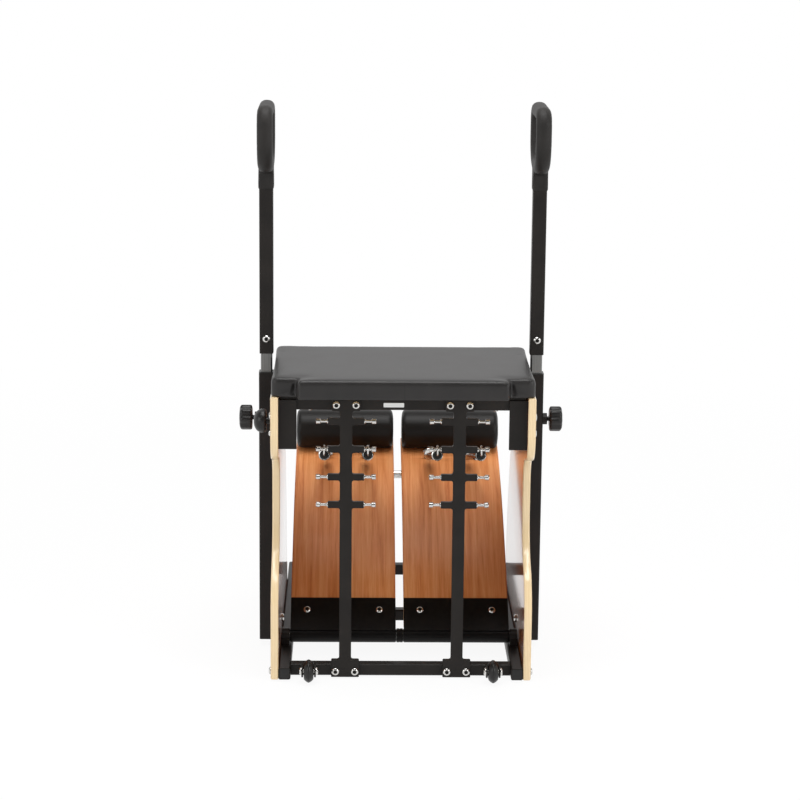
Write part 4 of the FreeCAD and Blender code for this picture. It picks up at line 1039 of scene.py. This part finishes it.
kept = {
    "plywood": ["side_panel_left", "side_panel_right"],
    "raw_plywood": ["seat_board"],
    "black_steel": ["base_rail_left", "base_rail_right", "rear_crossbar", "mid_crossbar", "front_crossbar",
                    "upper_crossbar", "seat_bracket_left", "seat_bracket_right", "handle_post_left",
                    "handle_post_right", "handle_tube_left", "handle_tube_right", "axle_blocks"],
    "grey_steel": ["inner_tube_left", "inner_tube_right"],
    "black_plastic": ["rail_end_caps", "post_bushes"],
}


def dress(node, finish):
    """New finish on a CAD node, with its split corners welded and its edges eased."""
    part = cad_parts[node]
    part.data.materials.clear()
    part.data.materials.append(finish)
    weld = part.modifiers.new("weld", "WELD")
    weld.merge_threshold = 0.005 * MM
    eased_edges(part, 0.6)


for slot, nodes in kept.items():
    for node in nodes:
        dress(node, finishes[slot])
for side, sign in SIDES:
    dress("pedal_board_" + side, board_finish)


# Floor, light and camera, in metres

white = (1, 1, 1, 1)


def studio_floor():
    """Matt white floor that keeps the chair's shadow and otherwise reads as plain white."""
    finish, tree, shader = new_finish("matt_white_floor", Base_Color=colour("#f2f2f2"), Roughness=0.9)
    path = add_node(tree, "LightPath")
    seen = add_node(tree, "Math", {0: path.outputs["Is Camera Ray"], 1: path.outputs["Is Glossy Ray"]},
                    operation="MAXIMUM")
    seen = add_node(tree, "Math", {0: seen, 1: path.outputs["Is Transmission Ray"]}, operation="MAXIMUM")
    place = add_node(tree, "TexCoord")
    away = add_node(tree, "VectorMath", {0: place.outputs["Object"]}, operation="LENGTH")
    # The shadow is kept faintly near the chair and fades out by three metres
    plain = add_node(tree, "MapRange", {"Value": away.outputs["Value"], "From Min": 0.7, "From Max": 3,
                     "To Min": 0.92, "To Max": 1}, interpolation_type="SMOOTHSTEP")
    share = add_node(tree, "Math", {0: seen, 1: plain}, operation="MULTIPLY")
    glow = add_node(tree, "Emission", {"Color": white, "Strength": 1})
    mix = add_node(tree, "MixShader", {0: share, 1: shader, 2: glow})
    tree.links.new(mix.outputs[0], tree.nodes["Material Output"].inputs["Surface"])
    return finish


def studio_sky():
    """White to the camera and a soft even light on the chair. Gloss shows a wall beyond the chair, white to
    some 50 degrees up, and a studio dark overhead and, but for the ground, behind the camera."""
    sky = bpy.data.worlds.new("white_studio")
    sky.use_nodes = True
    tree = sky.node_tree
    path = add_node(tree, "LightPath")
    camera_ray = path.outputs["Is Camera Ray"]
    place = add_node(tree, "TexCoord")
    way = add_node(tree, "SeparateXYZ", {0: place.outputs["Generated"]})
    side = add_node(tree, "MapRange", {"Value": way.outputs["Y"], "From Min": -0.5, "From Max": 0.5,
                    "To Min": 0, "To Max": 0.66}, interpolation_type="SMOOTHSTEP")
    over = add_node(tree, "Math", {0: way.outputs["Z"], 1: side}, operation="SUBTRACT")
    wall = add_node(tree, "MapRange", {"Value": over, "From Min": 0.06, "From Max": 0.26, "To Min": 1,
                    "To Max": 0.1}, interpolation_type="SMOOTHSTEP")
    mirror = add_node(tree, "Math", {0: path.outputs["Is Glossy Ray"],
                      1: path.outputs["Is Transmission Ray"]}, operation="MAXIMUM")
    shown = add_node(tree, "Math", {0: mirror, 1: wall}, operation="MULTIPLY")
    shown = add_node(tree, "Math", {0: shown, 1: camera_ray}, operation="MAXIMUM")
    direct = add_node(tree, "Math", {0: mirror, 1: camera_ray}, operation="MAXIMUM")
    soft = add_node(tree, "MapRange", {"Value": direct, "To Min": 0.48, "To Max": 0})
    level = add_node(tree, "Math", {0: shown, 1: soft}, operation="ADD")
    tree.links.new(level.outputs[0], tree.nodes["Background"].inputs["Strength"])
    tree.nodes["Background"].inputs["Color"].default_value = white
    return sky


def add_lamp(name, place, aim, size, power):
    """Square soft box at a place, turned towards aim."""
    lamp = bpy.data.lights.new(name, "AREA")
    lamp.shape = "SQUARE"
    lamp.size = size
    lamp.energy = power
    holder = bpy.data.objects.new(name, lamp)
    holder.location = place
    holder.rotation_euler = (Vector(aim) - Vector(place)).to_track_quat("-Z", "Y").to_euler()
    scene.collection.objects.link(holder)


floor_half = 9 / MM
ground = [Vector((x, y, 0)) * floor_half for x, y in ((-1, -1), (1, -1), (1, 1), (-1, 1))]
floor = new_piece("studio_floor", [(ground, [(0, 1, 2, 3)])], studio_floor())
scene.world = studio_sky()
add_lamp("left_box", (-3.2, -2.6, 2), (0, 0, 0.4), size=1.6, power=38)
add_lamp("right_box", (3.2, -2.6, 2), (0, 0, 0.4), size=1.6, power=54)
add_lamp("top_box", (0, -0.5, 3.6), (0, 0.1, 0.4), size=2.2, power=95)

# The camera is the one that best fits the panels in the photograph
camera_place = Vector((-0.09611, -5.11481, 1.65662))
pitch, yaw, tilt = math.radians(12), math.radians(1.07), math.radians(0.54)
right = Vector((math.cos(yaw), -math.sin(yaw), 0))
ahead = Vector((math.sin(yaw) * math.cos(pitch), math.cos(yaw) * math.cos(pitch), -math.sin(pitch)))
above = right.cross(ahead)
tilted_right = right * math.cos(tilt) + above * math.sin(tilt)
tilted_above = above * math.cos(tilt) - right * math.sin(tilt)
stand = Matrix((tilted_right, tilted_above, -ahead)).transposed().to_4x4()
stand.translation = camera_place
lens = bpy.data.cameras.new("photo_camera")
lens.sensor_width = 36
lens.lens = 108
lens.shift_y = -0.02986
lens.clip_end = 60
camera = bpy.data.objects.new("photo_camera", lens)
camera.matrix_world = stand
scene.collection.objects.link(camera)
scene.camera = camera
scene.view_settings.view_transform = "Standard"
